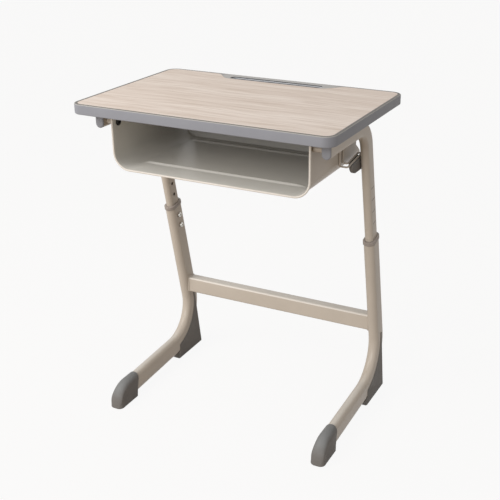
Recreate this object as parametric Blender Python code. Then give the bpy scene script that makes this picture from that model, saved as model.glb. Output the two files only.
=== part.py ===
"""Single school desk with a height-adjustable frame of flat-oval steel tube.

X runs to the user's right, Y from the user to the back and Z up. The origin lies on the floor,
under the middle of the desk's outline.
"""
import math

import bmesh
import bpy
from mathutils import Matrix, Vector

for old_object in list(bpy.data.objects):
    bpy.data.objects.remove(old_object, do_unlink=True)

# Driving dimensions in metres and degrees. Each Y place is measured from the middle of the top.
CLEARANCE = 0.0003

TOP_WIDTH = 0.606
TOP_DEPTH = 0.404
TOP_HEIGHT = 0.760
TOP_THICKNESS = 0.022
TOP_CORNER_RADIUS = 0.026
EDGE_WIDTH = 0.007
EDGE_TOP_FILLET = 0.002
EDGE_BOTTOM_FILLET = 0.002
LAMINATE_THICKNESS = 0.0010
BACKING_THICKNESS = 0.0006

TRAY_FRONT_LENGTH = 0.242
TRAY_BACK_LENGTH = 0.332
TRAY_WIDTH = 0.044
TRAY_RIM = 0.0015
TROUGH_LENGTH = 0.236
TROUGH_WIDTH = 0.0215
TROUGH_DEPTH = 0.008
TROUGH_SLOPE = 0.003
TROUGH_CORNER_RADIUS = 0.0105
TRAY_WALL = 0.003

LEG_INSET = 0.0355
TUBE_WALL = 0.0015
UPPER_TUBE_WIDTH = 0.020
UPPER_TUBE_DEPTH = 0.040
SLIDE_GAP_WIDTH = 0.0015
SLIDE_GAP_DEPTH = 0.0035
LEG_LEAN = 12.0
ARM_FRONT_Y = -0.151
ARM_BEND_RADIUS = 0.062
ARM_CAP_THICKNESS = 0.004
ARM_CAP_ROUNDING = 0.003
ARM_PLUG_LENGTH = 0.006
BUSH_FLANGE = 0.004
BUSH_PLUG_LENGTH = 0.016

HOLE_COUNT = 7
HOLE_PITCH = 0.030
FIRST_HOLE = 0.1843
HOLE_RADIUS = 0.0043
TUBE_END_MARGIN = 0.025

CROSSBAR_Y = 0.1717
CROSSBAR_Z = 0.1945
CROSSBAR_DEPTH = 0.028
CROSSBAR_HEIGHT = 0.041
CROSSBAR_CORNER_RADIUS = 0.005

LOWER_TUBE_TOP = 0.2450
FOOT_HEIGHT = 0.036
FOOT_RISE = 2.6
FOOT_FRONT_Y = -0.142
FOOT_BEND_RADIUS = 0.102

COLLAR_SKIRT = 0.0070
COLLAR_WALL = 0.0013
COLLAR_LIP = 0.0030
COLLAR_CHAMFER = 0.0008

TOE_REAR_Y = -0.106
TOE_REAR_LEAN = 15.0
TOE_FRONT_Y = -0.176
TOE_NOSE_LENGTH = 0.050
TOE_NOSE_HEIGHT = 0.008
TOE_TOP_WALL = 0.0020
TOE_FLOOR_WIDTH = 0.0350
TOE_SIDE_WALL = 0.0020
TOE_FLARE_HEIGHT = 0.040
TOE_FLOOR_CHAMFER = 0.002
TOE_ROUND_SHARE = 0.6
TOE_CORNER_SHARE = 0.6

HEEL_REAR_Y = 0.212
HEEL_FRONT_Y = 0.099
HEEL_WIDTH = 0.0288
HEEL_RAKE = 8.9
HEEL_CORNER = 0.004

BOX_HEIGHT = 0.1255
BOX_FRONT_Y = -0.153
BOX_LENGTH = 0.292
BOX_CORNER_RADIUS = 0.036
BOX_SHEET = 0.0012
RIM_RADIUS = 0.0023
FRONT_BEAD_SETBACK = 0.066
REAR_BEAD_SETBACK = 0.032
BEAD_WIDTH = 0.014
BEAD_HEIGHT = 0.003
BEAD_END_GAP = 0.004
NOTCH_LENGTH = 0.0405
NOTCH_WIDTH = 0.026
NOTCH_WALL_HEIGHT = 0.0463
NOTCH_BACK_HEIGHT = 0.0140
FLANGE_LENGTH = 0.300
FLANGE_WIDTH = 0.016

SPACER_LENGTH = 0.0248
SPACER_RADIUS = 0.007
BOX_BOLT_DROP = 0.0052
BOX_BOLT_FRONT_SETBACK = 0.022
BOX_BOLT_PITCH = 0.118
BOX_BOLT_RADIUS = 0.003
BOX_BOLT_HEAD_RADIUS = 0.009
BOX_BOLT_HEAD_HEIGHT = 0.0035
NUT_RADIUS = 0.0047
NUT_LENGTH = 0.005

SCREW_RADIUS = 0.0024
SCREW_HEAD_RADIUS = 0.0048
SCREW_HEAD_HEIGHT = 0.0028
SCREW_GRIP = 0.012
SCREW_ACCESS_RADIUS = 0.006
TOP_SCREW_FRONT_Y = -0.097
TOP_SCREW_PITCH = 0.050
FLANGE_SCREW_SPACING = 0.200

HEIGHT_BOLT_RADIUS = 0.0040
HEIGHT_BOLT_HEAD_RADIUS = 0.0062
HEIGHT_BOLT_HEAD_HEIGHT = 0.0028
HEIGHT_BOLT_REACH = 0.0047
SOCKET_RADIUS = 0.0026
SOCKET_DEPTH = 0.0016

TONGUE_THICKNESS = 0.0085
TONGUE_NOSE_RADIUS = 0.0226
TONGUE_ROOT_RADIUS = 0.0148
TONGUE_REACH = 0.0586
TONGUE_RISE = 0.0078
TONGUE_DROP = 0.1092
TONGUE_FORWARD = 0.003
TONGUE_LIP_WIDTH = 0.005
TONGUE_LIP_HEIGHT = 0.006
TONGUE_LIP_FROM_TIP = 0.010
TONGUE_LIP_DROP = 0.0005
HOOK_SCREW_LENGTH = 0.0125

LOOP_WIRE_RADIUS = 0.0020
LOOP_WIDTH = 0.018
LOOP_TOP_DROP = 0.046
LOOP_RUN = 0.080
LOOP_FROM_UPRIGHT = 0.0020
LOOP_AHEAD_OF_TONGUE = 0.0183
LOOP_ABOVE_TONGUE = 0.0012
LOOP_BEND_RADIUS = 0.0038

# Domed heads: shares of the head's radius and height, from the crown to the rim
BUTTON_DOME = ((0.62, 1.0), (0.90, 0.6), (1.0, 0.15), (1.0, 0.0))
FLANGE_DOME = ((0.55, 1.0), (0.85, 0.7), (1.0, 0.25), (1.0, 0.0))
PAN_DOME = ((0.70, 1.0), (1.0, 0.5), (1.0, 0.0))

# Counts of sides and steps on round shapes
OVAL_STEPS = 8
BEND_STEPS = 9
CORNER_STEPS = 6
ROUND_STEPS = 12

# Finishes: sRGB colour, roughness, metallic
FINISHES = {
    "beige_paint": ("#A59A8E", 0.45, 0.0),
    "grey_plastic": ("#85858A", 0.50, 0.0),
    "dark_plastic": ("#6E6D6B", 0.55, 0.0),
    "wood_laminate": ("#DED2C4", 0.50, 0.0),
    "chipboard": ("#B79A72", 0.90, 0.0),
    "backing_sheet": ("#D2CFC8", 0.70, 0.0),
    "zinc_steel": ("#B4B2AE", 0.35, 1.0),
    "black_steel": ("#1C1B1A", 0.50, 0.6),
}

# Sizes that follow from the driving dimensions
LEG_X = TOP_WIDTH / 2 - LEG_INSET
UNDERSIDE_Z = TOP_HEIGHT - TOP_THICKNESS
CORE_TOP_Z = TOP_HEIGHT - LAMINATE_THICKNESS - CLEARANCE
CORE_BOTTOM_Z = UNDERSIDE_Z + BACKING_THICKNESS + CLEARANCE
ARM_Z = UNDERSIDE_Z - CLEARANCE - UPPER_TUBE_DEPTH / 2
LOWER_TUBE_WIDTH = UPPER_TUBE_WIDTH + 2 * (SLIDE_GAP_WIDTH + TUBE_WALL)
LOWER_TUBE_DEPTH = UPPER_TUBE_DEPTH + 2 * (SLIDE_GAP_DEPTH + TUBE_WALL)
UPPER_STRAIGHT = (UPPER_TUBE_DEPTH - UPPER_TUBE_WIDTH) / 2
LOWER_STRAIGHT = (LOWER_TUBE_DEPTH - LOWER_TUBE_WIDTH) / 2
BOX_HALF_WIDTH = LEG_X - UPPER_TUBE_WIDTH / 2 - SPACER_LENGTH
BOX_TOP_Z = UNDERSIDE_Z - CLEARANCE
BOX_BOTTOM_Z = UNDERSIDE_Z - BOX_HEIGHT
BOX_BACK_Y = BOX_FRONT_Y + BOX_LENGTH
LEAN = math.radians(LEG_LEAN)
LEG_DOWN = Vector((0.0, math.sin(LEAN), -math.cos(LEAN)))
RISE = math.radians(FOOT_RISE)
FOOT_FORWARD = Vector((0.0, -math.cos(RISE), -math.sin(RISE)))
DESK_Y = (TOP_DEPTH / 2 - HEEL_REAR_Y) / 2
BOLT_SEAT_GAP = HEIGHT_BOLT_REACH - TUBE_WALL - SLIDE_GAP_WIDTH + CLEARANCE
SIDES = (("left", -1), ("right", 1))


def linear_colour(hex_colour):
    """Linear RGBA of an sRGB hex colour."""
    values = []
    for start in (1, 3, 5):
        level = int(hex_colour[start:start + 2], 16) / 255
        values.append(level / 12.92 if level <= 0.04045 else ((level + 0.055) / 1.055) ** 2.4)
    return (*values, 1.0)


def make_material(name, finish):
    """Principled material of one sub-part."""
    colour, roughness, metallic = FINISHES[finish]
    material = bpy.data.materials.new(name)
    material.use_nodes = True
    shader = material.node_tree.nodes["Principled BSDF"]
    shader.inputs["Base Color"].default_value = linear_colour(colour)
    shader.inputs["Roughness"].default_value = roughness
    shader.inputs["Metallic"].default_value = metallic
    return material


def add_empty(name, parent, location):
    """Empty that carries the pieces of one frame."""
    empty = bpy.data.objects.new(name, None)
    bpy.context.scene.collection.objects.link(empty)
    empty.parent = parent
    empty.location = location
    return empty


def leg_point(side, height):
    """Point of an upright's centre line, this far above the crossbar along the line."""
    return Vector((side * LEG_X, CROSSBAR_Y, CROSSBAR_Z)) - height * LEG_DOWN


DESK = add_empty("desk", None, (0.0, DESK_Y, 0.0))
UPPER_FRAME = add_empty("upper_frame", DESK, leg_point(0, LOWER_TUBE_TOP))


def add_object(name, data, parent, location=(0.0, 0.0, 0.0), rotation=(0.0, 0.0, 0.0)):
    """Object in the scene, placed in desk coordinates and carried by one of the empties."""
    part = bpy.data.objects.new(name, data)
    bpy.context.scene.collection.objects.link(part)
    part.parent = parent
    if parent is UPPER_FRAME:
        part.matrix_parent_inverse = Matrix.Translation(-parent.location)
    part.location = location
    part.rotation_euler = rotation
    return part


def mesh_from(name, shape):
    """Mesh of a bmesh, with its faces pointing out."""
    bmesh.ops.recalc_face_normals(shape, faces=shape.faces)
    mesh = bpy.data.meshes.new(name)
    shape.to_mesh(mesh)
    shape.free()
    mesh.shade_smooth()
    mesh.set_sharp_from_angle(angle=math.radians(35))
    return mesh


def add_part(name, shape, finish, parent, location=(0.0, 0.0, 0.0), rotation=(0.0, 0.0, 0.0)):
    """One sub-part with its own material."""
    part = add_object(name, mesh_from(name, shape), parent, location, rotation)
    part.data.materials.append(make_material(name, finish))
    return part


def combine(part, shape, operation="DIFFERENCE"):
    """Cut a helper shape out of a part, or join it on."""
    helper = add_object(part.name + "_helper", mesh_from(part.name + "_helper", shape), DESK)
    helper.hide_render = True
    helper.display_type = "WIRE"
    modifier = part.modifiers.new(operation.lower(), "BOOLEAN")
    modifier.operation = operation
    modifier.solver = "EXACT"
    modifier.object = helper


def loft(rings, closed=False, shape=None):
    """Skin over rings of points. A closed loft joins its last ring to its first, as a tube wall does."""
    shape = shape or bmesh.new()
    loops = [[shape.verts.new(point) for point in ring] for ring in rings]
    pairs = list(zip(loops, loops[1:]))
    if closed:
        pairs.append((loops[-1], loops[0]))
    for first, second in pairs:
        for index in range(len(first)):
            following = (index + 1) % len(first)
            shape.faces.new((first[index], first[following], second[following], second[index]))
    if not closed:
        shape.faces.new(loops[0])
        shape.faces.new(loops[-1])
    return shape


def oval(half_width, half_straight):
    """Flat-oval section: (across, along) points, counter-clockwise."""
    points = []
    for centre, start in ((half_straight, 0.0), (-half_straight, math.pi)):
        for step in range(OVAL_STEPS + 1):
            angle = start + math.pi * step / OVAL_STEPS
            points.append((half_width * math.cos(angle), centre + half_width * math.sin(angle)))
    return points


def rounded_rectangle(width, depth, radius):
    """Rectangle with round corners: points, counter-clockwise."""
    points = []
    corners = ((1, 1, 0.0), (-1, 1, 90.0), (-1, -1, 180.0), (1, -1, 270.0))
    for right, back, start in corners:
        for step in range(CORNER_STEPS + 1):
            angle = math.radians(start + 90.0 * step / CORNER_STEPS)
            across = right * (width / 2 - radius) + radius * math.cos(angle)
            along = back * (depth / 2 - radius) + radius * math.sin(angle)
            points.append((across, along))
    return points


def circle(radius, height):
    """Level ring of points round the local Z axis."""
    turns = [2 * math.pi * step / ROUND_STEPS for step in range(ROUND_STEPS)]
    return [(radius * math.cos(turn), radius * math.sin(turn), height) for turn in turns]


def turned(profile):
    """Turned solid from (radius, height) steps, with flat ends."""
    return loft([circle(radius, height) for radius, height in profile])


def dome(shares, radius, height):
    """Steps of a domed head that stands on Z = 0 and points down."""
    return [(radius * across, -height * up) for across, up in shares]


def add_rod(shape, start, end, radius):
    """Round rod between two points, for drilling."""
    start, end = Vector(start), Vector(end)
    turn = (end - start).to_track_quat("Z", "Y")
    rings = []
    for height in (0.0, (end - start).length):
        rings.append([start + turn @ Vector(point) for point in circle(radius, height)])
    return loft(rings, shape=shape)


def bent_path(points, radius, steps):
    """Points and directions along a bent rod: straight runs with one radius at every corner."""
    points = [Vector(point) for point in points]
    stations = [(points[0], (points[1] - points[0]).normalized())]
    for before, corner, after in zip(points, points[1:], points[2:]):
        arriving = (corner - before).normalized()
        leaving = (after - corner).normalized()
        turn = arriving.angle(leaving)
        inward = (leaving - arriving).normalized()
        centre = corner + inward * radius / math.cos(turn / 2)
        axis = arriving.cross(leaving).normalized()
        first_spoke = corner - arriving * radius * math.tan(turn / 2) - centre
        for step in range(steps + 1):
            rotation = Matrix.Rotation(turn * step / steps, 3, axis)
            stations.append((centre + rotation @ first_spoke, rotation @ arriving))
    stations.append((points[-1], (points[-1] - points[-2]).normalized()))
    return stations


def oval_rings(stations, half_width, half_straight):
    """Flat-oval rings square to a path that bends in the YZ plane."""
    across = Vector((1.0, 0.0, 0.0))
    section = oval(half_width, half_straight)
    rings = []
    for point, direction in stations:
        along = across.cross(direction)
        rings.append([point + across * a + along * b for a, b in section])
    return rings


def oval_tube(stations, half_width, half_straight):
    """Flat-oval tube with open ends."""
    outer = oval_rings(stations, half_width, half_straight)
    inner = oval_rings(stations, half_width - TUBE_WALL, half_straight)
    return loft(outer + inner[::-1], closed=True)


def straight_rings(origin, direction, steps):
    """Rings of one straight moulding: each step is a distance, a half width and a half straight."""
    rings = []
    for distance, half_width, half_straight in steps:
        station = (origin + direction * distance, direction)
        rings += oval_rings([station], half_width, half_straight)
    return rings


def level_prism(outline, bottom, top):
    """Upright prism over an outline of (x, y) points."""
    return loft([[(x, y, z) for x, y in outline] for z in (bottom, top)])


def board_outline(inset):
    """Outline of the board inside the edge: straight sides, round corners, a notch for the pen tray."""
    width = TOP_WIDTH - 2 * (EDGE_WIDTH + inset)
    depth = TOP_DEPTH - 2 * (EDGE_WIDTH + inset)
    outline = rounded_rectangle(width, depth, TOP_CORNER_RADIUS - EDGE_WIDTH - inset)
    notch = []
    for step in range(CORNER_STEPS + 1):
        share = step / CORNER_STEPS
        ease = share * share * (3 - 2 * share)
        half_length = TRAY_BACK_LENGTH / 2 + share * (TRAY_FRONT_LENGTH - TRAY_BACK_LENGTH) / 2
        front_y = TOP_DEPTH / 2 - TRAY_WIDTH - inset
        notch.append((half_length + inset, depth / 2 + ease * (front_y - depth / 2)))
    mirrored = [(-x, y) for x, y in reversed(notch)]
    back_right = CORNER_STEPS + 1
    return outline[:back_right] + notch + mirrored + outline[back_right:]


def top_screw_places():
    """Places of the screws that hold the top on the arms."""
    places = []
    for side_name, side in SIDES:
        for end_name, y in (("front", TOP_SCREW_FRONT_Y), ("back", TOP_SCREW_FRONT_Y + TOP_SCREW_PITCH)):
            places.append((side_name + "_" + end_name, side * LEG_X, y))
    return places


def flange_screw_places():
    """Places of the screws that hold the box's rear flange to the top."""
    y = BOX_BACK_Y + FLANGE_WIDTH / 2
    return [(side_name, side * FLANGE_SCREW_SPACING / 2, y) for side_name, side in SIDES]


def box_bolt_places():
    """Places of the bolts through the walls of the box: name, side, y."""
    places = []
    front_y = BOX_FRONT_Y + BOX_BOLT_FRONT_SETBACK
    for side_name, side in SIDES:
        for end_name, y in (("front", front_y), ("back", front_y + BOX_BOLT_PITCH)):
            places.append((side_name + "_" + end_name, side, y))
    return places


def top_drillings(bottom, top):
    """Rods for the screw holes in the layers of the top."""
    shape = bmesh.new()
    for _, x, y in top_screw_places() + flange_screw_places():
        add_rod(shape, (x, y, bottom), (x, y, top), SCREW_RADIUS + CLEARANCE)
    return shape


def build_top():
    """Chipboard core with a wood-grain sheet above, a balancing sheet below and a moulded edge."""
    outline = board_outline(CLEARANCE)
    margin = BACKING_THICKNESS
    core = add_part("desktop_core", level_prism(outline, CORE_BOTTOM_Z, CORE_TOP_Z), "chipboard", UPPER_FRAME)
    combine(core, top_drillings(CORE_BOTTOM_Z - margin, CORE_BOTTOM_Z + SCREW_GRIP + margin))
    laminate = level_prism(outline, TOP_HEIGHT - LAMINATE_THICKNESS, TOP_HEIGHT)
    add_part("desktop_laminate", laminate, "wood_laminate", UPPER_FRAME)
    backing = level_prism(outline, UNDERSIDE_Z, UNDERSIDE_Z + BACKING_THICKNESS)
    backing_part = add_part("desktop_backing", backing, "backing_sheet", UPPER_FRAME)
    combine(backing_part, top_drillings(UNDERSIDE_Z - margin, UNDERSIDE_Z + BACKING_THICKNESS + margin))


def build_edge():
    """Moulded edge round the board. At the back it widens into a pen tray, hollow underneath."""
    fillet_steps = 3
    levels = []
    for step in range(fillet_steps + 1):
        angle = math.pi / 2 * step / fillet_steps
        inset = EDGE_BOTTOM_FILLET * (1 - math.sin(angle))
        levels.append((inset, UNDERSIDE_Z + EDGE_BOTTOM_FILLET * (1 - math.cos(angle))))
    for step in range(fillet_steps + 1):
        angle = math.pi / 2 * step / fillet_steps
        inset = EDGE_TOP_FILLET * (1 - math.cos(angle))
        levels.append((inset, TOP_HEIGHT - EDGE_TOP_FILLET * (1 - math.sin(angle))))
    rings = []
    for inset, z in levels:
        size = (TOP_WIDTH - 2 * inset, TOP_DEPTH - 2 * inset)
        rings.append([(x, y, z) for x, y in rounded_rectangle(*size, TOP_CORNER_RADIUS - inset)])
    edge = add_part("edge_band", loft(rings), "grey_plastic", UPPER_FRAME)
    combine(edge, level_prism(board_outline(0.0), UNDERSIDE_Z - EDGE_WIDTH, TOP_HEIGHT + EDGE_WIDTH))

    trough_y = TOP_DEPTH / 2 - TRAY_WIDTH + TRAY_RIM + TROUGH_WIDTH / 2
    trough_bottom = TOP_HEIGHT - TROUGH_DEPTH
    rings = []
    for inset, z in ((TROUGH_SLOPE, trough_bottom), (0.0, TOP_HEIGHT), (0.0, TOP_HEIGHT + TROUGH_DEPTH)):
        size = (TROUGH_LENGTH - 2 * inset, TROUGH_WIDTH - 2 * inset)
        outline = rounded_rectangle(*size, TROUGH_CORNER_RADIUS - inset)
        rings.append([(x, y + trough_y, z) for x, y in outline])
    combine(edge, loft(rings))

    recess_width = TRAY_WIDTH - EDGE_WIDTH - TRAY_WALL
    recess_y = TOP_DEPTH / 2 - TRAY_WIDTH + TRAY_WALL + recess_width / 2
    outline = rounded_rectangle(TRAY_FRONT_LENGTH - 2 * TRAY_WALL, recess_width, TRAY_WALL)
    outline = [(x, y + recess_y) for x, y in outline]
    combine(edge, level_prism(outline, UNDERSIDE_Z - TRAY_WALL, trough_bottom - TRAY_WALL))


def arm_corner(side):
    """Where an arm's centre line would meet its upright's."""
    return leg_point(side, (ARM_Z - CROSSBAR_Z) / math.cos(LEAN))


def build_upper_tube(side_name, side):
    """Arm, rear bend and upright in one flat-oval tube, drilled for bolts, screws and height steps."""
    arm_start = Vector((side * LEG_X, ARM_FRONT_Y + ARM_CAP_THICKNESS + CLEARANCE, ARM_Z))
    end = leg_point(side, FIRST_HOLE - TUBE_END_MARGIN)
    stations = bent_path((arm_start, arm_corner(side), end), ARM_BEND_RADIUS, BEND_STEPS)
    tube = oval_tube(stations, UPPER_TUBE_WIDTH / 2, UPPER_STRAIGHT)
    part = add_part("upper_tube_" + side_name, tube, "beige_paint", UPPER_FRAME)

    drill = bmesh.new()
    middle = side * LEG_X
    inside = middle - side * UPPER_TUBE_WIDTH
    for step in range(HOLE_COUNT):
        point = leg_point(side, FIRST_HOLE + step * HOLE_PITCH)
        add_rod(drill, point, (inside, point.y, point.z), HOLE_RADIUS)
    for name, x, y in top_screw_places():
        if name.startswith(side_name):
            add_rod(drill, (x, y, ARM_Z), (x, y, UNDERSIDE_Z), SCREW_RADIUS + CLEARANCE)
            below = (x, y, ARM_Z - UPPER_TUBE_DEPTH)
            add_rod(drill, below, (x, y, ARM_Z - UPPER_STRAIGHT), SCREW_ACCESS_RADIUS)
    for name, _, y in box_bolt_places():
        if name.startswith(side_name):
            z = ARM_Z - BOX_BOLT_DROP
            add_rod(drill, (middle, y, z), (inside, y, z), BOX_BOLT_RADIUS + CLEARANCE)
    screw = tongue_screw_point(side)
    add_rod(drill, screw, (inside, screw.y, screw.z), SCREW_RADIUS + CLEARANCE)
    combine(part, drill)


def build_arm_cap(side_name, side):
    """Moulded plug in the front end of an arm."""
    origin = Vector((side * LEG_X, ARM_FRONT_Y, ARM_Z))
    half_width = UPPER_TUBE_WIDTH / 2
    spigot = half_width - TUBE_WALL - CLEARANCE
    steps = (
        (0.0, half_width - ARM_CAP_ROUNDING, UPPER_STRAIGHT),
        (ARM_CAP_ROUNDING * 0.3, half_width - ARM_CAP_ROUNDING * 0.3, UPPER_STRAIGHT),
        (ARM_CAP_ROUNDING, half_width, UPPER_STRAIGHT),
        (ARM_CAP_THICKNESS, half_width, UPPER_STRAIGHT),
        (ARM_CAP_THICKNESS, spigot, UPPER_STRAIGHT),
        (ARM_CAP_THICKNESS + ARM_PLUG_LENGTH, spigot, UPPER_STRAIGHT),
    )
    rings = straight_rings(origin, Vector((0.0, 1.0, 0.0)), steps)
    add_part("arm_cap_" + side_name, loft(rings), "grey_plastic", UPPER_FRAME)


def build_tube_bush(side_name, side):
    """Moulded plug at the lower end of an upright, which guides it inside the lower tube."""
    origin = leg_point(side, FIRST_HOLE - TUBE_END_MARGIN) + LEG_DOWN * CLEARANCE
    spigot = UPPER_TUBE_WIDTH / 2 - TUBE_WALL - CLEARANCE
    guide = LOWER_TUBE_WIDTH / 2 - TUBE_WALL - CLEARANCE
    steps = (
        (-BUSH_PLUG_LENGTH, spigot, UPPER_STRAIGHT),
        (0.0, spigot, UPPER_STRAIGHT),
        (0.0, guide, LOWER_STRAIGHT),
        (BUSH_FLANGE, guide, LOWER_STRAIGHT),
    )
    rings = straight_rings(origin, LEG_DOWN, steps)
    add_part("tube_bush_" + side_name, loft(rings), "dark_plastic", UPPER_FRAME)


def build_top_screws():
    """Screws up through the arms into the core. Each head seats inside the top of the tube."""
    inner_radius = UPPER_TUBE_WIDTH / 2 - TUBE_WALL
    seat_drop = inner_radius - math.sqrt(inner_radius ** 2 - SCREW_HEAD_RADIUS ** 2)
    seat_z = ARM_Z + UPPER_TUBE_DEPTH / 2 - TUBE_WALL - seat_drop - CLEARANCE
    length = CORE_BOTTOM_Z + SCREW_GRIP - seat_z
    for name, x, y in top_screw_places():
        add_part("top_screw_" + name, screw_shape(length), "zinc_steel", UPPER_FRAME, (x, y, seat_z))


def screw_shape(length):
    """Pan-head screw along Z with its seat at the origin."""
    head = dome(PAN_DOME, SCREW_HEAD_RADIUS, SCREW_HEAD_HEIGHT)
    return turned(head + [(SCREW_RADIUS, 0.0), (SCREW_RADIUS, length)])


def box_path(offset):
    """Line down one wall of the box, along its floor and up the other wall, moved out by an offset."""
    half_width = BOX_HALF_WIDTH + offset
    bottom = BOX_BOTTOM_Z - offset
    radius = BOX_CORNER_RADIUS + offset
    points = [(-half_width, BOX_TOP_Z)]
    for side, start in ((-1, 180.0), (1, 270.0)):
        for step in range(CORNER_STEPS + 1):
            angle = math.radians(start + 90.0 * step / CORNER_STEPS)
            x = side * (half_width - radius) + radius * math.cos(angle)
            points.append((x, bottom + radius + radius * math.sin(angle)))
    points.append((half_width, BOX_TOP_Z))
    return points


def box_profile():
    """(offset, y) points of a cut through the sheet, from back to front and back, with a rolled edge."""
    centre = RIM_RADIUS - BOX_SHEET
    centre_y = BOX_FRONT_Y + RIM_RADIUS
    roll = math.pi + math.acos(-centre / RIM_RADIUS)
    profile = [(-BOX_SHEET, BOX_BACK_Y - BOX_SHEET)]
    for step in range(ROUND_STEPS + 1):
        angle = math.pi + roll * step / ROUND_STEPS
        profile.append((centre + RIM_RADIUS * math.cos(angle), centre_y + RIM_RADIUS * math.sin(angle)))
    profile.append((0.0, BOX_BACK_Y))
    return profile


def box_sheet():
    """Walls, floor and back of the box in one sheet, with a flange along the top of the back."""
    shape = bmesh.new()
    rings = []
    for offset, y in box_profile():
        rings.append([shape.verts.new((x, y, z)) for x, z in box_path(offset)])
    for first, second in zip(rings, rings[1:]):
        for index in range(len(first) - 1):
            shape.faces.new((first[index], first[index + 1], second[index + 1], second[index]))

    flange = []
    for y in (BOX_BACK_Y, BOX_BACK_Y + FLANGE_WIDTH):
        for z in (BOX_TOP_Z, BOX_TOP_Z - BOX_SHEET):
            flange.append([shape.verts.new((side * FLANGE_LENGTH / 2, y, z)) for _, side in SIDES])
    near_top, near_low, far_top, far_low = flange
    for first, second in ((near_low, far_low), (far_low, far_top)):
        shape.faces.new((first[0], first[1], second[1], second[0]))
    for end in (0, 1):
        shape.faces.new((near_low[end], far_low[end], far_top[end], near_top[end]))

    shape.faces.new(rings[0])
    shape.faces.new(rings[-1] + [near_top[1], near_low[1], near_low[0], near_top[0]])
    left_edge = [ring[0] for ring in rings]
    right_edge = [ring[-1] for ring in reversed(rings)]
    shape.faces.new(left_edge + [near_top[0], far_top[0], far_top[1], near_top[1]] + right_edge)
    return shape


def floor_bead(middle_y):
    """Raised bead across the floor of the box."""
    half_length = BOX_HALF_WIDTH - BOX_CORNER_RADIUS - BEAD_END_GAP
    base_z = BOX_BOTTOM_Z + BOX_SHEET / 2
    steps = 6
    rings = []
    for x, share in ((-half_length, 0.5), (-half_length + BEAD_WIDTH, 1.0), (half_length - BEAD_WIDTH, 1.0),
                     (half_length, 0.5)):
        ring = []
        for step in range(steps + 1):
            angle = math.pi * step / steps
            y = middle_y + BEAD_WIDTH / 2 * math.cos(angle)
            ring.append((x, y, base_z + (BEAD_HEIGHT * math.sin(angle) + BOX_SHEET / 4) * share))
        ring += [(x, middle_y - BEAD_WIDTH / 2, base_z), (x, middle_y + BEAD_WIDTH / 2, base_z)]
        rings.append(ring)
    return loft(rings)


def corner_notches():
    """Notches that free the back of the box from its side walls, above the round corners of the floor."""
    wall_y = BOX_BACK_Y - NOTCH_LENGTH
    beyond_y = BOX_BACK_Y + BOX_SHEET
    beyond_z = BOX_TOP_Z + BOX_SHEET
    outline = [(wall_y, beyond_z), (wall_y, BOX_BOTTOM_Z + NOTCH_WALL_HEIGHT)]
    outline += [(beyond_y, BOX_BOTTOM_Z + NOTCH_BACK_HEIGHT), (beyond_y, beyond_z)]
    shape = bmesh.new()
    for _, side in SIDES:
        ends = (side * (BOX_HALF_WIDTH - NOTCH_WIDTH), side * (BOX_HALF_WIDTH + BOX_SHEET))
        loft([[(x, y, z) for y, z in outline] for x in ends], shape=shape)
    return shape


def build_book_box():
    """Pressed steel tray, open in front and above, hung between the arms and screwed to the top."""
    part = add_part("book_box", box_sheet(), "beige_paint", UPPER_FRAME)
    for y in (BOX_FRONT_Y + FRONT_BEAD_SETBACK, BOX_BACK_Y - REAR_BEAD_SETBACK):
        combine(part, floor_bead(y), "UNION")
    combine(part, corner_notches())
    drill = bmesh.new()
    for _, x, y in flange_screw_places():
        low = (x, y, BOX_TOP_Z - FLANGE_WIDTH)
        add_rod(drill, low, (x, y, BOX_TOP_Z + FLANGE_WIDTH), SCREW_RADIUS + CLEARANCE)
    z = ARM_Z - BOX_BOLT_DROP
    for _, side, y in box_bolt_places():
        inner = (side * (BOX_HALF_WIDTH - SPACER_RADIUS), y, z)
        add_rod(drill, inner, (side * (BOX_HALF_WIDTH + SPACER_RADIUS), y, z), BOX_BOLT_RADIUS + CLEARANCE)
    combine(part, drill)


def build_box_fixings():
    """Flange bolts through the box's walls, spacers up to the arms and rivet nuts inside the arms."""
    z = ARM_Z - BOX_BOLT_DROP
    arm_face = LEG_X - UPPER_TUBE_WIDTH / 2
    nut_start = arm_face + TUBE_WALL + CLEARANCE
    head_seat = BOX_HALF_WIDTH - BOX_SHEET - CLEARANCE
    bore = BOX_BOLT_RADIUS + CLEARANCE
    spacer_span = SPACER_LENGTH - 2 * CLEARANCE
    for name, side, y in box_bolt_places():
        turn = (0.0, side * math.pi / 2, 0.0)
        head = dome(FLANGE_DOME, BOX_BOLT_HEAD_RADIUS, BOX_BOLT_HEAD_HEIGHT)
        length = nut_start + NUT_LENGTH - head_seat
        bolt = turned(head + [(BOX_BOLT_RADIUS, 0.0), (BOX_BOLT_RADIUS, length)])
        add_part("box_bolt_" + name, bolt, "black_steel", UPPER_FRAME, (side * head_seat, y, z), turn)
        spacer = sleeve(SPACER_RADIUS, bore, spacer_span)
        spacer_start = BOX_HALF_WIDTH + CLEARANCE
        add_part("box_spacer_" + name, spacer, "beige_paint", UPPER_FRAME, (side * spacer_start, y, z), turn)
        nut = sleeve(NUT_RADIUS, bore, NUT_LENGTH)
        add_part("box_nut_" + name, nut, "zinc_steel", UPPER_FRAME, (side * nut_start, y, z), turn)
    for name, x, y in flange_screw_places():
        seat_z = BOX_TOP_Z - BOX_SHEET - CLEARANCE
        length = CORE_BOTTOM_Z + SCREW_GRIP - seat_z
        add_part("flange_screw_" + name, screw_shape(length), "zinc_steel", UPPER_FRAME, (x, y, seat_z))


def sleeve(outer_radius, inner_radius, length):
    """Round sleeve along Z from the origin."""
    rings = [circle(outer_radius, 0.0), circle(outer_radius, length)]
    rings += [circle(inner_radius, length), circle(inner_radius, 0.0)]
    return loft(rings, closed=True)


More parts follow.
